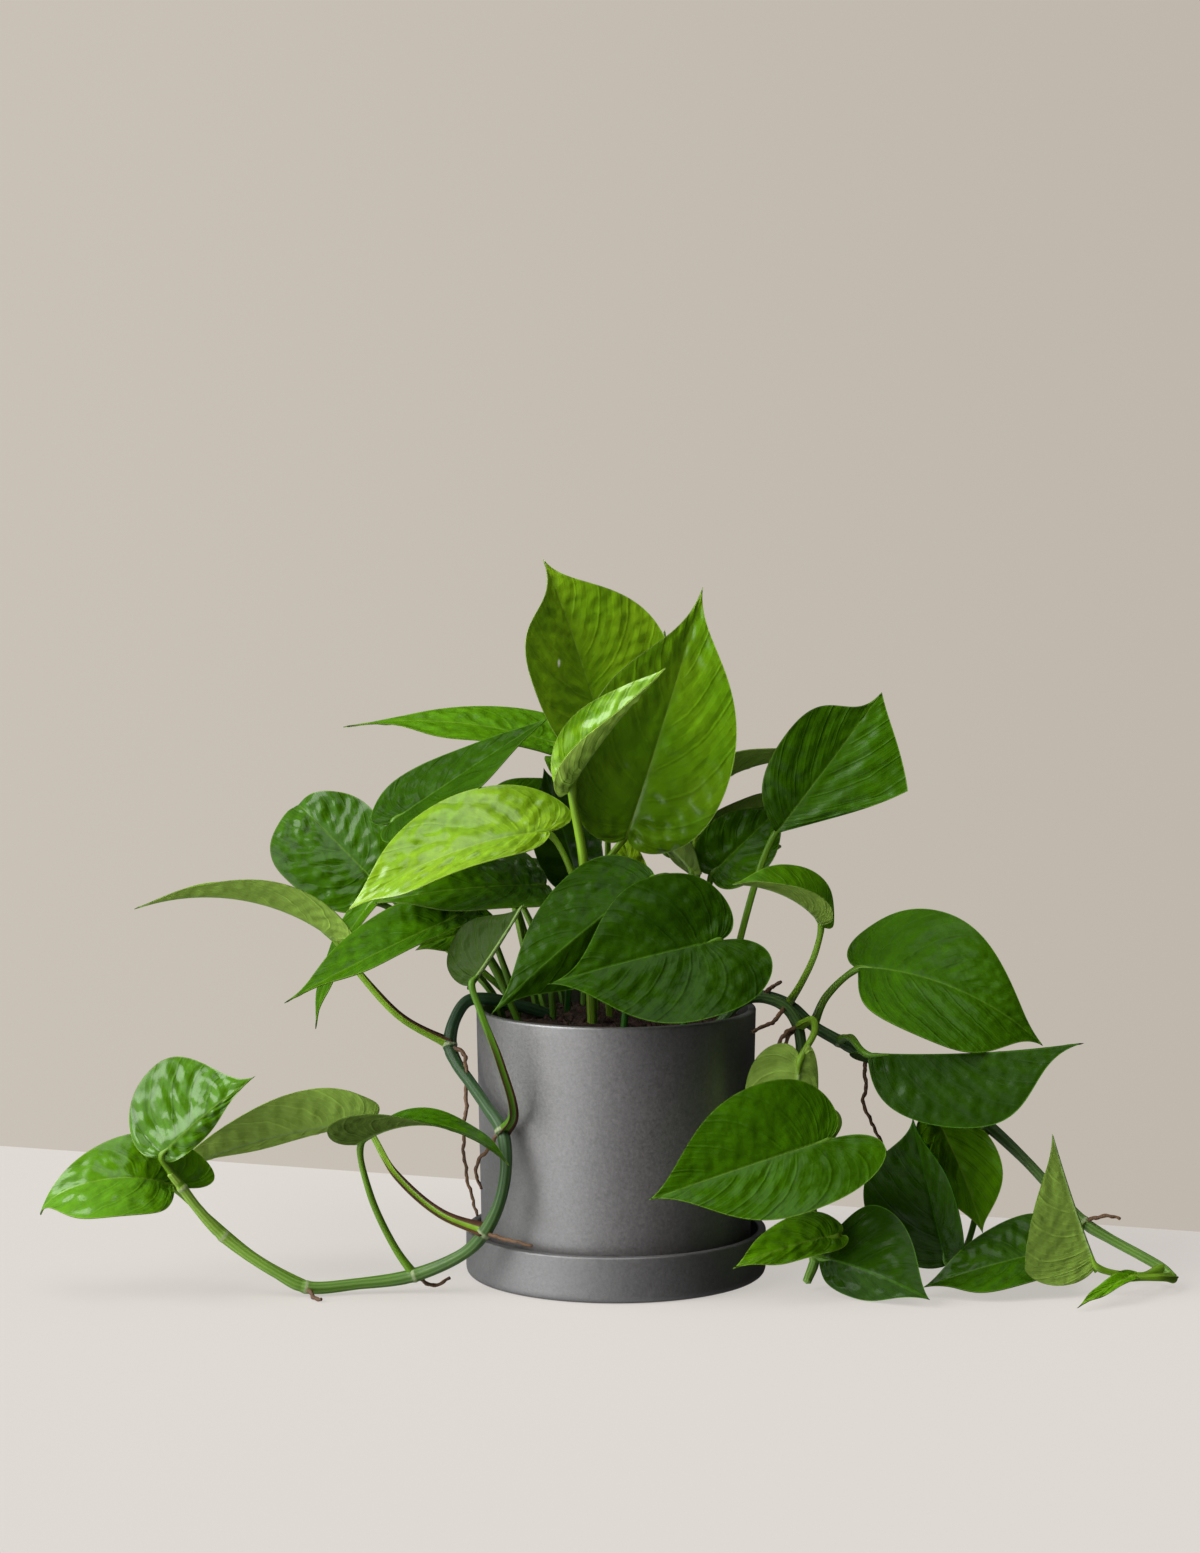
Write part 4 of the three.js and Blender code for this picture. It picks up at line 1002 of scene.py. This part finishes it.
    dict(name="right_vine_leaf_7", base=[100, -54, 28.6], tip=[52, -72, 17],
         face=[-0.1, -0.6, 0.8], half=[8, 15], lobe=0.1, bend=24, fold=[-30, 10],
         stalk=[[90, -30, 31], [98, -42, 32]], tone=0.5, gloss=0.2),
    dict(name="right_vine_leaf_8", base=[93, -47, 17], tip=[140, -77, 4], face=[0, -0.7, 0.6],
         half=[31, 14], lobe=0.02, bend=30, fold=[8, -45], stalk=[[91, -36, 14], [92, -42, 17]],
         tone=0, gloss=0.08),
    # a tone under 0 deepens this old leaf's green with painted shade, where it lies in shade
    dict(name="right_vine_leaf_9", base=[152, -27, 9], tip=[135, -38, 79],
         face=[-0.3, -0.9, 0.2], half=[30, 17], lobe=[0.02, 0], broad=[0.48, 0.36], bend=10,
         fold=[10, 35], stalk=[[172, -2, 70], [168, -12, 34], [160, -20, 12]], tone=-0.1,
         gloss=0.1),
    dict(name="right_vine_leaf_10", base=[147, -16, 77], tip=[169, -24, 23],
         face=[0.3, -0.9, 0.2], half=[19, 17], lobe=[-0.04, 0.04], broad=[0.46, 0.3], bend=30,
         stalk=[[158, 0, 79], [150, -12, 81]], tone=0.58, gloss=0.25),
    dict(name="right_vine_leaf_11", base=[202, -32, 17], tip=[139, -56, 5], face=[0, -0.5, 0.85],
         half=[22, 22], broad=[0.45, 0.12], bend=10, stalk=[[216, -19, 27], [209, -27, 22]],
         tone=0.12, gloss=0.2),
    dict(name="right_vine_leaf_12", base=[217, -54, 14], tip=[196, -60, 76],
         face=[-0.48, 0.9, -0.12], half=[6, 32], lobe=[0.06, 0.16], broad=[0.28, 0.18],
         corner=[0, 0.5], drawn=[1, 1], bend=10, fold=[90, 12],
         stalk=[[251, -31, 8], [239, -46, 8]], tone=0.5, gloss=0.05, pucker=0.4),
    dict(name="right_vine_leaf_13", base=[233, -56, 10], tip=[205, -84, 2], face=[0, -0.5, 0.8],
         half=[4, 4], bend=20, stalk=[[255, -36, 4.5], [247, -50, 8]], tone=0.5, gloss=0.2,
         pucker=0.3),
    # leaves that fill the crown at the back
    dict(name="back_leaf_1", base=[-60, 60, 200], tip=[-120, 100, 205], face=[-0.3, 0.3, 0.9],
         half=[30, 30], bend=40, stalk=[[-30, 34, 104], [-46, 52, 160]], tone=0.4),
    dict(name="back_leaf_2", base=[-4, 70, 215], tip=[-18, 140, 225], face=[0, 0.2, 1],
         half=[28, 30], bend=45, stalk=[[-5, 46, 104], [-4, 60, 160]], tone=0.5),
    dict(name="back_leaf_3", base=[42, 70, 186], tip=[76, 122, 178], face=[0.3, 0.4, 0.85],
         half=[28, 28], bend=40, stalk=[[14, 46, 104], [32, 62, 150]], tone=0.3),
    dict(name="back_leaf_4", base=[10, 56, 238], tip=[24, 84, 296], face=[0.1, 0.9, 0.3],
         half=[24, 24], bend=30, stalk=[[2, 30, 104], [8, 48, 200]], tone=0.6),
    dict(name="back_leaf_5", base=[10, 92, 160], tip=[30, 150, 120], face=[0.1, 0.8, 0.5],
         half=[32, 32], bend=30, stalk=[[8, 50, 104], [8, 53, 124], [9, 70, 142]], tone=0.35),
    dict(name="back_leaf_6", base=[-52, 74, 176], tip=[-88, 122, 166], face=[-0.4, 0.5, 0.75],
         half=[26, 26], bend=36, stalk=[[-24, 48, 104], [-26, 51, 124], [-38, 62, 150]],
         tone=0.25),
]

print("leaves:", len(LEAVES))

# %% [markdown]
# Leaves on a vine are told apart from those in the soil by their names, because their
# stalks end in a swollen foot. The youngest ones are listed by name, but they wear the same
# finishes as the rest.

# %% Make the leaves
YOUNG = {"crown_leaf_3", "crown_leaf_6", "left_vine_leaf_5", "right_vine_leaf_13"}

for seed, row in enumerate(LEAVES):
    leaf = {**USUAL_LEAF, **row, "on_vine": "vine" in row["name"]}
    midrib = Midrib(leaf)
    shape = Shape()
    add_blade(shape, leaf, midrib, seed)
    add_stalk(shape, leaf, midrib)
    slot = "young_leaf" if leaf["name"] in YOUNG else "leaf"
    dress(shape, leaf["name"], [LEAF_SKIN, STALK_SKIN])
print("leaves on vines:", sum("vine" in row["name"] for row in LEAVES))

# %% [markdown]
# ## The vines and their aerial roots
#
# A vine is a string of smooth green stretches between nodes. At a node it swells and
# carries a pale ring, the scar of a fallen sheath, and thin brown aerial roots start
# there, looking for something to cling to. The vine is dark and blue-green near the pot
# and paler towards its growing end.
#
# Each point of a route is a place and a radius, and fresh is how new the vine is at its
# start and at its end.

# %% Vine table
VINES = [
    dict(name="left_vine", fresh=[0.05, 1.05],
         path=[[-14, 8, 106, 2.8], [-30, 6, 119, 2.8], [-46, 3, 125, 2.8], [-60, 0, 128.5, 2.8],
               [-69, -1, 127.5, 2.8], [-75, -5, 119, 2.8], [-77, -9, 108, 3.3],
               [-74, -14, 101, 2.8],
               [-67, -24, 93, 2.7], [-59, -37, 84, 2.7], [-52, -47, 75, 3.2], [-50, -54, 60, 2.7],
               [-53, -58, 44, 2.7], [-60, -57, 30, 3.2], [-69, -53, 20, 2.7], [-92, -47, 8.5, 3.2],
               [-117, -48, 4.8, 2.6], [-141, -53, 4.4, 2.9], [-154, -54, 11, 2.4],
               [-178, -54, 28, 2.7],
               [-190, -56, 42, 2.2], [-196, -58, 51, 2.3], [-201, -60, 58, 1.8]],
         roots=[
             [[-77, -9, 108, 1], [-70, -17, 105, 1], [-69, -21, 98, 0.9], [-69, -27, 83, 0.9],
              [-70, -32, 67, 0.8], [-68, -41, 52, 0.8], [-63, -52, 37, 0.7]],
             [[-52, -47, 75, 1], [-58, -51, 68, 0.9], [-64, -51, 57, 0.8], [-61, -51, 49, 0.7]],
             [[-60, -57, 30, 1], [-50, -65, 29, 0.9], [-38, -70, 27, 0.7]],
             [[-92, -47, 8.5, 1], [-84, -43, 3, 0.9], [-76, -42, 6, 0.7]],
             [[-141, -53, 4.4, 1.1], [-137, -60, 1.6, 1], [-133, -65, 1.4, 0.8]],
         ]),
    dict(name="right_vine", fresh=[0.22, 0.6],
         path=[[24, 14, 106, 2.6], [40, 12, 120, 2.6], [56, 9, 127, 2.6], [68, 6, 129, 2.6],
               [80, 4, 125, 3.1], [92, 4, 115, 2.6], [104, 4, 108, 2.8], [120, 4, 99, 2.5],
               [146, 2, 86, 2.5], [158, 0, 79, 2.5], [172, -2, 70, 3], [190, -8, 54, 2.4],
               [206, -15, 37, 2.4], [216, -19, 27, 2.9], [228, -23, 20, 2.3], [242, -28, 13, 2.3],
               [251, -31, 8, 2.3], [255, -36, 4.5, 2.3]],
         roots=[
             [[68, 6, 129, 1.2], [72, 2, 133, 1], [77, -1, 137, 0.8]],
             [[116, 4, 101, 1], [116, -3, 88, 0.9], [115, -7, 80, 0.9], [120, -10, 69, 0.8],
              [126, -15, 56, 0.7]],
             [[216, -19, 27, 1], [224, -24, 31, 0.9], [232, -26, 30, 0.7]],
         ]),
    dict(name="hanging_vine", fresh=[0.3, 0.6],
         path=[[36, -20, 106, 2.4], [48, -17, 120, 2.4], [58, -12, 129, 2.4], [68, -8, 130, 2.4],
               [78, -8, 126, 2.6], [84, -10, 117, 2.6], [86, -14, 98, 2.5], [87, -18, 78, 2.5],
               [88, -24, 54, 2.3], [90, -30, 31, 2.5], [91, -36, 14, 2.6], [87, -41, 4, 2]],
         roots=[
             [[84, -10, 117, 1.1], [77, -17, 114, 1], [72, -21, 105, 0.8]],
             [[78, -8, 126, 1.1], [72, -22, 121, 1], [62, -31, 118, 0.8]],
             [[84, -10, 117, 1.1], [78, -15, 110, 0.9], [81, -20, 103, 0.7]],
         ]),
]

print("vines:", len(VINES))

# %% [markdown]
# Fine pale ridges run along a vine, and its age runs along it too, so both are values of
# the mesh. The roots are plain bark, brown with darker specks.

# %% Vine and root finishes
VINE_GREENS = [(0.0, (0.012, 0.040, 0.018)), (0.3, (0.026, 0.075, 0.014)),
               (0.65, (0.085, 0.21, 0.006)), (1.0, (0.19, 0.35, 0.012))]  # from old to new
FRESH_RIDGE = (0.42, 0.52, 0.20)
NODE_RING = (0.33, 0.38, 0.20)
BARK = [(0.25, (0.035, 0.016, 0.008)), (0.75, (0.21, 0.11, 0.045))]


def vine_finish():
    """Green read from the value fresh, paler on the ridges and at the rings of the nodes."""
    skin = Finish("vine skin")
    fresh, ring, ridge = (skin.value(name) for name in ("fresh", "ring", "streak"))
    mottle, fine = skin.noise(70, 3), skin.noise(500, 2)
    green = skin.ramp(fresh + (mottle - 0.5) * 0.2, *VINE_GREENS)
    green = skin.mix(ridge * 0.3, green, skin.shade(green, 1.9))
    green = skin.mix(ridge * fresh * 0.4, green, FRESH_RIDGE)
    colour = skin.mix(ring.rise(0.25, 0.8) * 0.7, green, NODE_RING)
    return skin.done(base_color=colour, roughness=0.42 + fine * 0.12, specular_ior_level=0.3,
                     normal=skin.bump(fine * 0.3 + ridge * 0.5, 0.0003, 0.6))


def root_finish():
    """Bark: brown read from broad and fine noise together."""
    bark = Finish("root bark")
    fine, broad = bark.noise(700, 3), bark.noise(90, 2)
    colour = bark.ramp(broad * 0.6 + fine * 0.4, *BARK)
    return bark.done(base_color=colour, roughness=0.62 + fine * 0.2,
                     normal=bark.bump(fine, 0.0004, 0.8))


VINE_SKIN, ROOT_BARK = vine_finish(), root_finish()
print("finishes:", VINE_SKIN.name, "and", ROOT_BARK.name)

# %% [markdown]
# A vine and its roots are tubes on the routes of the table. The rings of the nodes are
# found from the table itself: a node is where a vine's radius peaks. Each root is set
# wandering a little, because a real one feels its way through the air.

# %% Make the vines
VINE_SIDES, VINE_STEPS = 30, 16
ROOT_SIDES, ROOT_STEPS = 10, 10
FIRST_ACROSS = [0.31, 0.87, 0.38]  # any direction that no route starts in
RING_HEIGHT, RIDGES, RIDGE_HEIGHT = 0.3, 9, 0.03
FRESHENING = 2.2  # how late along a vine its colour freshens


def rings_along(path, distance):
    """1 at a node of the vine, a slight dip beyond it, and 0 within a few millimetres."""
    radius = np.array([row[3] for row in path])
    nodes = 1 + np.flatnonzero((radius[1:-1] > radius[:-2]) & (radius[1:-1] > radius[2:]))
    gap = distance[:, None] - distance[nodes * VINE_STEPS][None, :]
    return np.exp(-(gap / 1.1) ** 2).sum(1) - 0.7 * np.exp(-((gap - 2.4) / 0.9) ** 2).sum(1)


def add_vine(shape, vine):
    """A vine whose radius has fine ridges, which wind slowly, and a ring at each node."""
    stations = route(vine["path"], VINE_STEPS)
    distance = distances_along(stations)
    ring = rings_along(vine["path"], distance)
    stations[:, 3] += RING_HEIGHT * ring
    distance = distance[:, None]
    winding = 0.02 * distance + 0.6 * np.sin(0.11 * distance)
    ridge = 0.5 + 0.5 * np.sin(RIDGES * turns(VINE_SIDES)[None, :] + winding)
    old, new = vine["fresh"]
    fresh = old + (new - old) * (distance / distance[-1]) ** FRESHENING
    tube(shape, stations, FIRST_ACROSS, VINE_SIDES,
         lambda *_: 1 + RIDGE_HEIGHT * (ridge - 0.5), 0,
         fresh=fresh, ring=np.clip(ring, 0, 1)[:, None], streak=ridge)


def add_root(shape, path, seed):
    """A thin root: a tube that wanders in two waves and thins to a blunt tip."""
    stations = route(path, ROOT_STEPS)
    distance = distances_along(stations)
    slow, quick = np.random.default_rng(seed).uniform(0, 6.3, (2, 3))
    wander = (0.35 * np.sin(0.45 * distance[:, None] + slow)
              + 0.2 * np.sin(1.1 * distance[:, None] + quick))
    stations[:, :3] += wander * smooth_step(0, 6, distance)[:, None]
    stations[:, 3] *= 1 + 0.12 * np.sin(1.7 * distance + slow[0])
    tube(shape, stations, FIRST_ACROSS, ROOT_SIDES, lambda *_: 1, 1)


for number, vine in enumerate(VINES):
    shape = Shape()
    add_vine(shape, vine)
    for k, path in enumerate(vine["roots"]):
        add_root(shape, path, 10 * number + k)
    dress(shape, vine["name"], [VINE_SKIN, ROOT_BARK])
print("roots:", sum(len(vine["roots"]) for vine in VINES))

# %% [markdown]
# ## The pot and the saucer
#
# Both are thrown on a wheel, so both are a profile turned about an axis. The profile is a
# list of straight runs and quarter rounds: a soft lip that catches a thin line of light,
# a rounded foot and a rounded inner corner. The glaze is a matt charcoal with a fine
# speckle, and it must not look like painted plastic, so its colour and its roughness
# both carry the speckle.

# %% Profiles
CLEARANCE = 0.3
SAUCER = dict(foot_radius=70, rim_radius=70, bottom=0, height=21.5, wall=3.8, floor=4.6,
              edge=4, lip=1.2, corner=2)
POT = dict(foot_radius=62.5, rim_radius=65, bottom=SAUCER["floor"] + CLEARANCE, height=120,
           wall=3.6, floor=6, edge=3, lip=1.3, corner=3)


def vessel(foot_radius, rim_radius, bottom, height, wall, floor, edge, lip, corner):
    """Corners of a profile, (radius, height, rounding): outside and up, then inside and down."""
    top, inside = bottom + height, bottom + floor
    return [(0, bottom, 0), (foot_radius, bottom, edge), (rim_radius, top, lip),
            (rim_radius - wall, top, lip), (foot_radius - wall, inside, corner), (0, inside, 0)]


def rounded(profile, steps=7):
    """A profile with arcs at its corners.

    The rounding cuts both sides of a corner at that distance, and a quadratic curve, close
    to an arc, joins the cuts.
    """
    points = np.array([corner[:2] for corner in profile], float)
    out = [points[:1]]
    for k in range(1, len(profile) - 1):
        before, after = unit(points[k - 1] - points[k]), unit(points[k + 1] - points[k])
        cut = profile[k][2]
        t = np.linspace(0, 1, steps)[:, None]
        start, end = points[k] + cut * before, points[k] + cut * after
        out.append((1 - t) ** 2 * start + 2 * t * (1 - t) * points[k] + t ** 2 * end)
    out.append(points[-1:])
    return np.concatenate(out)


def split_long(profile, longest):
    """The same profile with long straight runs cut into short steps."""
    out = [profile[:1]]
    for start, end in zip(profile[:-1], profile[1:]):
        parts = max(1, int(np.ceil(np.linalg.norm(end - start) / longest)))
        out.append(start + (end - start) * np.linspace(0, 1, parts + 1)[1:, None])
    return np.concatenate(out)


print("corners of a profile:", len(vessel(**POT)))

# %% [markdown]
# The saucer's glaze is the pot's stoneware painted darker, as painted shade on the saucer,
# and made a little duller, so each has its own: the same speckle with another depth and
# another roughness.

# %% Stoneware
CHARCOAL = [(0.2, (0.038, 0.035, 0.034)), (0.8, (0.120, 0.113, 0.110))]


def stoneware_finish(name, depth, rough):
    """Charcoal read from a fine speckle, with grit and faint clouds, times the depth, where a depth
    under 1 paints shade.
    """
    glaze = Finish(name)
    speckle, cloud, grit = glaze.noise(800, 3, 0.7), glaze.noise(18, 2), glaze.noise(420, 2)
    tone = 0.5 + (speckle - 0.5) * 1.3 + (cloud - 0.5) * 0.25 + (grit - 0.5) * 0.4
    colour = glaze.shade(glaze.ramp(tone, *CHARCOAL), depth)
    return glaze.done(base_color=colour, roughness=rough + speckle * 0.14, ior=1.8,
                      specular_ior_level=1.0,
                      normal=glaze.bump(speckle * 0.6 + grit * 0.4, 0.00025, 0.6))


STONEWARE = stoneware_finish("charcoal stoneware", 1.0, 0.38)
# a depth of 0.72 paints shade on the saucer: a darker copy of the pot's glaze
SHADED_SAUCER_STONEWARE = stoneware_finish("charcoal stoneware of the saucer", 0.72, 0.46)
print("glazes:", STONEWARE.name, "and", SHADED_SAUCER_STONEWARE.name)

# %% [markdown]
# A profile turned about the upright axis is a stack of rings, as a tube is, and it closes
# in a pole at both ends, because both ends lie on the axis. The Spin tool or a Screw
# modifier could turn it too, but then the poles would have to be merged afterwards.

# %% Make the saucer and the pot
ROUND_COLUMNS = 192
LONGEST_STEP = 6  # along a profile


def turned(profile, node, finish):
    """Rings of a profile's points, and a pole at each end."""
    profile = split_long(rounded(profile), LONGEST_STEP)
    radius, height = profile[1:-1, 0][:, None], profile[1:-1, 1][:, None]
    angle = turns(ROUND_COLUMNS)[None, :]
    rings = np.stack([radius * np.cos(angle), radius * np.sin(angle), height + 0 * angle], -1)
    shape = Shape()
    add_rings(shape, rings, [[0, 0, profile[0, 1]], [0, 0, profile[-1, 1]]])
    return dress(shape, node, [finish])


for profile, node, finish in ((SAUCER, "saucer", SHADED_SAUCER_STONEWARE), (POT, "pot", STONEWARE)):
    piece = turned(vessel(**profile), node, finish)
    print(piece.name, "faces:", len(piece.data.polygons))

# %% [markdown]
# ## The soil
#
# Peat is crumbly: no height map alone gives its loose grains. The soil's top is a rough
# disc, and several hundred low crumbs, each a squashed and turned twenty-sided ball, are
# sown on it with a seeded draw and fused into the same mesh. A ball of twenty faces is
# enough, because a crumb is smaller than a pea and half of it is sunk.

# %% The soil's top
SOIL_ROWS, SOIL_COLUMNS = 60, 150
EDGE_HEIGHT, MOUND = 118.6, 2.2
LOWERED = 0.8  # the rough top lies a little under the solid's, so that crumbs stand on it
SKIRT = 4  # how much narrower the lump is at its foot
GRAIN = 0.45  # how rough the top is


def soil_height(share):
    """The height of the mound at a share of its radius: a flat dome."""
    return EDGE_HEIGHT + MOUND * (1 - share ** 2)


def add_soil_body(shape, radius, bottom, draw):
    """A closed lump: a flat bottom, a side, and a top with slow waves and a rough grain."""
    angle = turns(SOIL_COLUMNS)[None, :]
    share = np.linspace(1, 0, SOIL_ROWS + 1)[:-1, None]
    rough = draw.normal(0, GRAIN, (SOIL_ROWS, SOIL_COLUMNS)) * (share > 0.02)
    waves = 0.7 * np.sin(15 * share + 3 * angle) + 0.5 * np.sin(21 * share - 5 * angle + 1)
    top = soil_height(share) + waves * np.sin(np.pi * share) - LOWERED + rough
    foot = np.array([bottom, bottom + 2])[:, None] + 0 * angle
    reach = np.concatenate([radius - SKIRT + 0 * foot, radius * share + 0 * angle])
    height = np.concatenate([foot, top])
    rings = np.stack([reach * np.cos(angle), reach * np.sin(angle), height], -1)
    add_rings(shape, rings, [[0, 0, bottom], [0, 0, soil_height(0) - LOWERED]])


print("points of the soil's top:", SOIL_ROWS * SOIL_COLUMNS)

# %% Crumbs
CRUMBS = 900
SMALLEST, LARGER = 0.4, 1.5  # radius of the smallest crumb, and how much larger one may be
SUNK = 0.7  # how far a crumb's middle lies under the mound


def ball_of_twenty():
    """The corners and faces of a regular solid with twenty sides and a radius of one."""
    g = (1 + 5 ** 0.5) / 2
    corners = np.array([(-1, g, 0), (1, g, 0), (-1, -g, 0), (1, -g, 0), (0, -1, g), (0, 1, g),
                        (0, -1, -g), (0, 1, -g), (g, 0, -1), (g, 0, 1), (-g, 0, -1), (-g, 0, 1)])
    faces = np.array([(0, 11, 5), (0, 5, 1), (0, 1, 7), (0, 7, 10), (0, 10, 11), (1, 5, 9),
                      (5, 11, 4), (11, 10, 2), (10, 7, 6), (7, 1, 8), (3, 9, 4), (3, 4, 2),
                      (3, 2, 6), (3, 6, 8), (3, 8, 9), (4, 9, 5), (2, 4, 11), (6, 2, 10),
                      (8, 6, 7), (9, 8, 1)])
    return unit(corners), faces


def add_crumbs(shape, radius, draw):
    """Balls, stretched, dented and turned at random, spread evenly over the disc, half sunk."""
    corners, faces = ball_of_twenty()
    size = SMALLEST + LARGER * draw.random(CRUMBS) ** 2.5
    share = np.sqrt(draw.random(CRUMBS)) * 0.97
    angle = draw.uniform(0, 2 * np.pi, CRUMBS)
    height = soil_height(share) - SUNK
    centre = np.stack([radius * share * np.cos(angle), radius * share * np.sin(angle), height], -1)
    stretch = draw.uniform(0.6, 1.4, (CRUMBS, 1, 3))
    dents = draw.uniform(0.8, 1.2, (CRUMBS, len(corners), 1))
    spin = np.linalg.qr(draw.normal(size=(CRUMBS, 3, 3)))[0]
    spin = spin * np.sign(np.linalg.det(spin))[:, None, None]
    local = np.einsum("cij,ckj->cki", spin, corners[None] * (stretch * dents))
    points = centre[:, None] + local * size[:, None, None]
    number = np.arange(CRUMBS)[:, None, None] * len(corners)
    shape.add(points.reshape(-1, 3), [(faces[None] + number).reshape(-1, 3)])


print("faces of a crumb:", len(ball_of_twenty()[1]))

# %% Make the soil
PEAT = [(0.3, (0.012, 0.006, 0.004)), (0.52, (0.045, 0.020, 0.012)), (0.75, (0.15, 0.07, 0.04))]


def soil_finish():
    """Peat: nearly black with brown grains, read from fine and broad noise together."""
    peat = Finish("peat")
    fine, broad = peat.noise(900, 3, 0.7), peat.noise(160, 2)
    colour = peat.ramp(fine * 0.6 + broad * 0.4, *PEAT)
    return peat.done(base_color=colour, roughness=0.85 + fine * 0.1,
                     normal=peat.bump(fine, 0.0008, 1.0))


draw = np.random.default_rng(7)
soil_radius = POT["rim_radius"] - POT["wall"] - CLEARANCE - 0.3
soil_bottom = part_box("soil")[0][2] / MM
shape = Shape()
add_soil_body(shape, soil_radius, soil_bottom, draw)
add_crumbs(shape, soil_radius - 1.2, draw)
dress(shape, "soil", [soil_finish()])
print("soil with", CRUMBS, "crumbs")

# %% [markdown]
# ## The table, the light and the camera
#
# The stage is plain: a pale table top and an even wall colour behind it. The table glows
# faintly, so that its shadows stay as light as a large soft room makes them, and it is
# left out of the bounced light, so that it doesn't fill the pot's dark side.

# %% Table
BACK_EDGE = [(-1.30, 0.656), (1.30, -0.278)]  # the table's back corners, left and right
FRONT_EDGE = [(1.30, -2.50), (-1.30, -2.50)]
TABLE_THICKNESS = 0.03
TABLE_GLOW = (0.505, 0.478, 0.449, 1.0)


def table_finish():
    """A pale colour that hardly varies, and an even glow."""
    top = Finish("pale table")
    pale = top.mix(top.noise(3, 2), (0.175, 0.163, 0.152), (0.178, 0.166, 0.155))
    return top.done(base_color=pale, roughness=0.8, emission_color=TABLE_GLOW,
                    emission_strength=1.0)


table = Shape()
corners = [(x / MM, y / MM, z / MM) for z in (0.0, -TABLE_THICKNESS)
           for x, y in FRONT_EDGE + BACK_EDGE]
table.add(corners, [[(0, 3, 2, 1), (4, 5, 6, 7)],
                    [(k, (k + 1) % 4, (k + 1) % 4 + 4, k + 4) for k in range(4)]])
table_top = table.to_object("table_top", [table_finish()])
table_top.data.polygons.foreach_set("use_smooth", np.zeros(6, bool))
table_top.visible_diffuse = False
table_top.visible_glossy = False
table_top.visible_shadow = False
print("stage:", table_top.name)

# %% [markdown]
# One large soft light stands high at the left, which is what models the pot, with a low
# one under it, a weak one in front and a weak one above. The last one shines up from the
# table, where a real table would throw light back. The wall isn't built: the world shows
# its colour to the camera and lights the plant with a dimmer one, brighter at the left.

# %% Lights
SKY = (0.95, 0.98, 1.0, 1)
WALL = (0.590, 0.540, 0.475), (0.515, 0.467, 0.407)  # left and right


def sky():
    """Mix two backgrounds by whether the camera looks: the wall's colour, and the fill."""
    studio = Finish("studio", world=True)
    around = studio.node("ShaderNodeTexCoord", output="Generated")
    way = studio.node("ShaderNodeSeparateXYZ", {}, [around])
    fill = way.rise(0.1, -0.9) * 0.35 + 0.02
    light = studio.node("ShaderNodeBackground", {}, [SKY, fill])
    wall = studio.mix(way.rise(-0.25, 0.25), *WALL)
    wall = studio.node("ShaderNodeBackground", {}, [wall, 1.0])
    seen = studio.node("ShaderNodeLightPath", output="Is Camera Ray")
    return studio.close(studio.node("ShaderNodeMixShader", {}, [seen, light, wall]))


def sun(name, way, strength, spread):
    """A soft, even light that shines from a direction, as wide as the spread in degrees."""
    light = bpy.data.lights.new(name, "SUN")
    light.energy, light.angle = strength, np.radians(spread)
    lamp = bpy.data.objects.new(name, light)
    lamp.rotation_euler = Vector(way).to_track_quat("Z", "Y").to_euler()
    bpy.context.scene.collection.objects.link(lamp)


bpy.context.scene.world = sky()
sun("left softbox", (-0.86, -0.36, 0.60), 3.6, 45)
sun("low left softbox", (-0.86, -0.46, 0.08), 1.4, 84)
sun("front softbox", (0.10, -0.42, 0.90), 1.0, 40)
sun("top light", (-0.1, 0.1, 1.0), 0.3, 70)
sun("glow of the table", (-0.35, -0.45, -0.8), 1.0, 90)
print("lights:", len(bpy.data.lights))

# %% [markdown]
# The camera stands 1.7 metres off and looks down by 5 degrees. Its focal length was
# measured in pixels of the picture, and a sensor of 36 mm turns that into millimetres.

# %% Camera
LENS_AT = (-0.0075, -1.700, 0.383)
PITCH = 5.07  # degrees below level
IMAGE_HEIGHT, FOCAL_PIXELS, SENSOR = 1553, 3690, 36.0
camera = bpy.data.cameras.new("camera")
camera.sensor_fit = "VERTICAL"
camera.sensor_height = SENSOR
camera.lens = SENSOR * FOCAL_PIXELS / IMAGE_HEIGHT
viewer = bpy.data.objects.new("camera", camera)
viewer.location = LENS_AT
viewer.rotation_euler = (np.radians(90 - PITCH), 0, 0)
bpy.context.scene.collection.objects.link(viewer)
bpy.context.scene.camera = viewer
bpy.context.scene.view_settings.view_transform = "Standard"
print("focal length:", round(camera.lens, 1), "mm")

# %% [markdown]
# ## Counting the pieces
#
# The dressed pieces are counted, with their triangles.

# %% Pieces and triangles
pieces = [piece for piece in bpy.data.objects if piece.name.endswith("_fine")]
print("pieces:", len(pieces), "triangles:", sum(len(piece.data.loop_triangles) for piece in pieces))
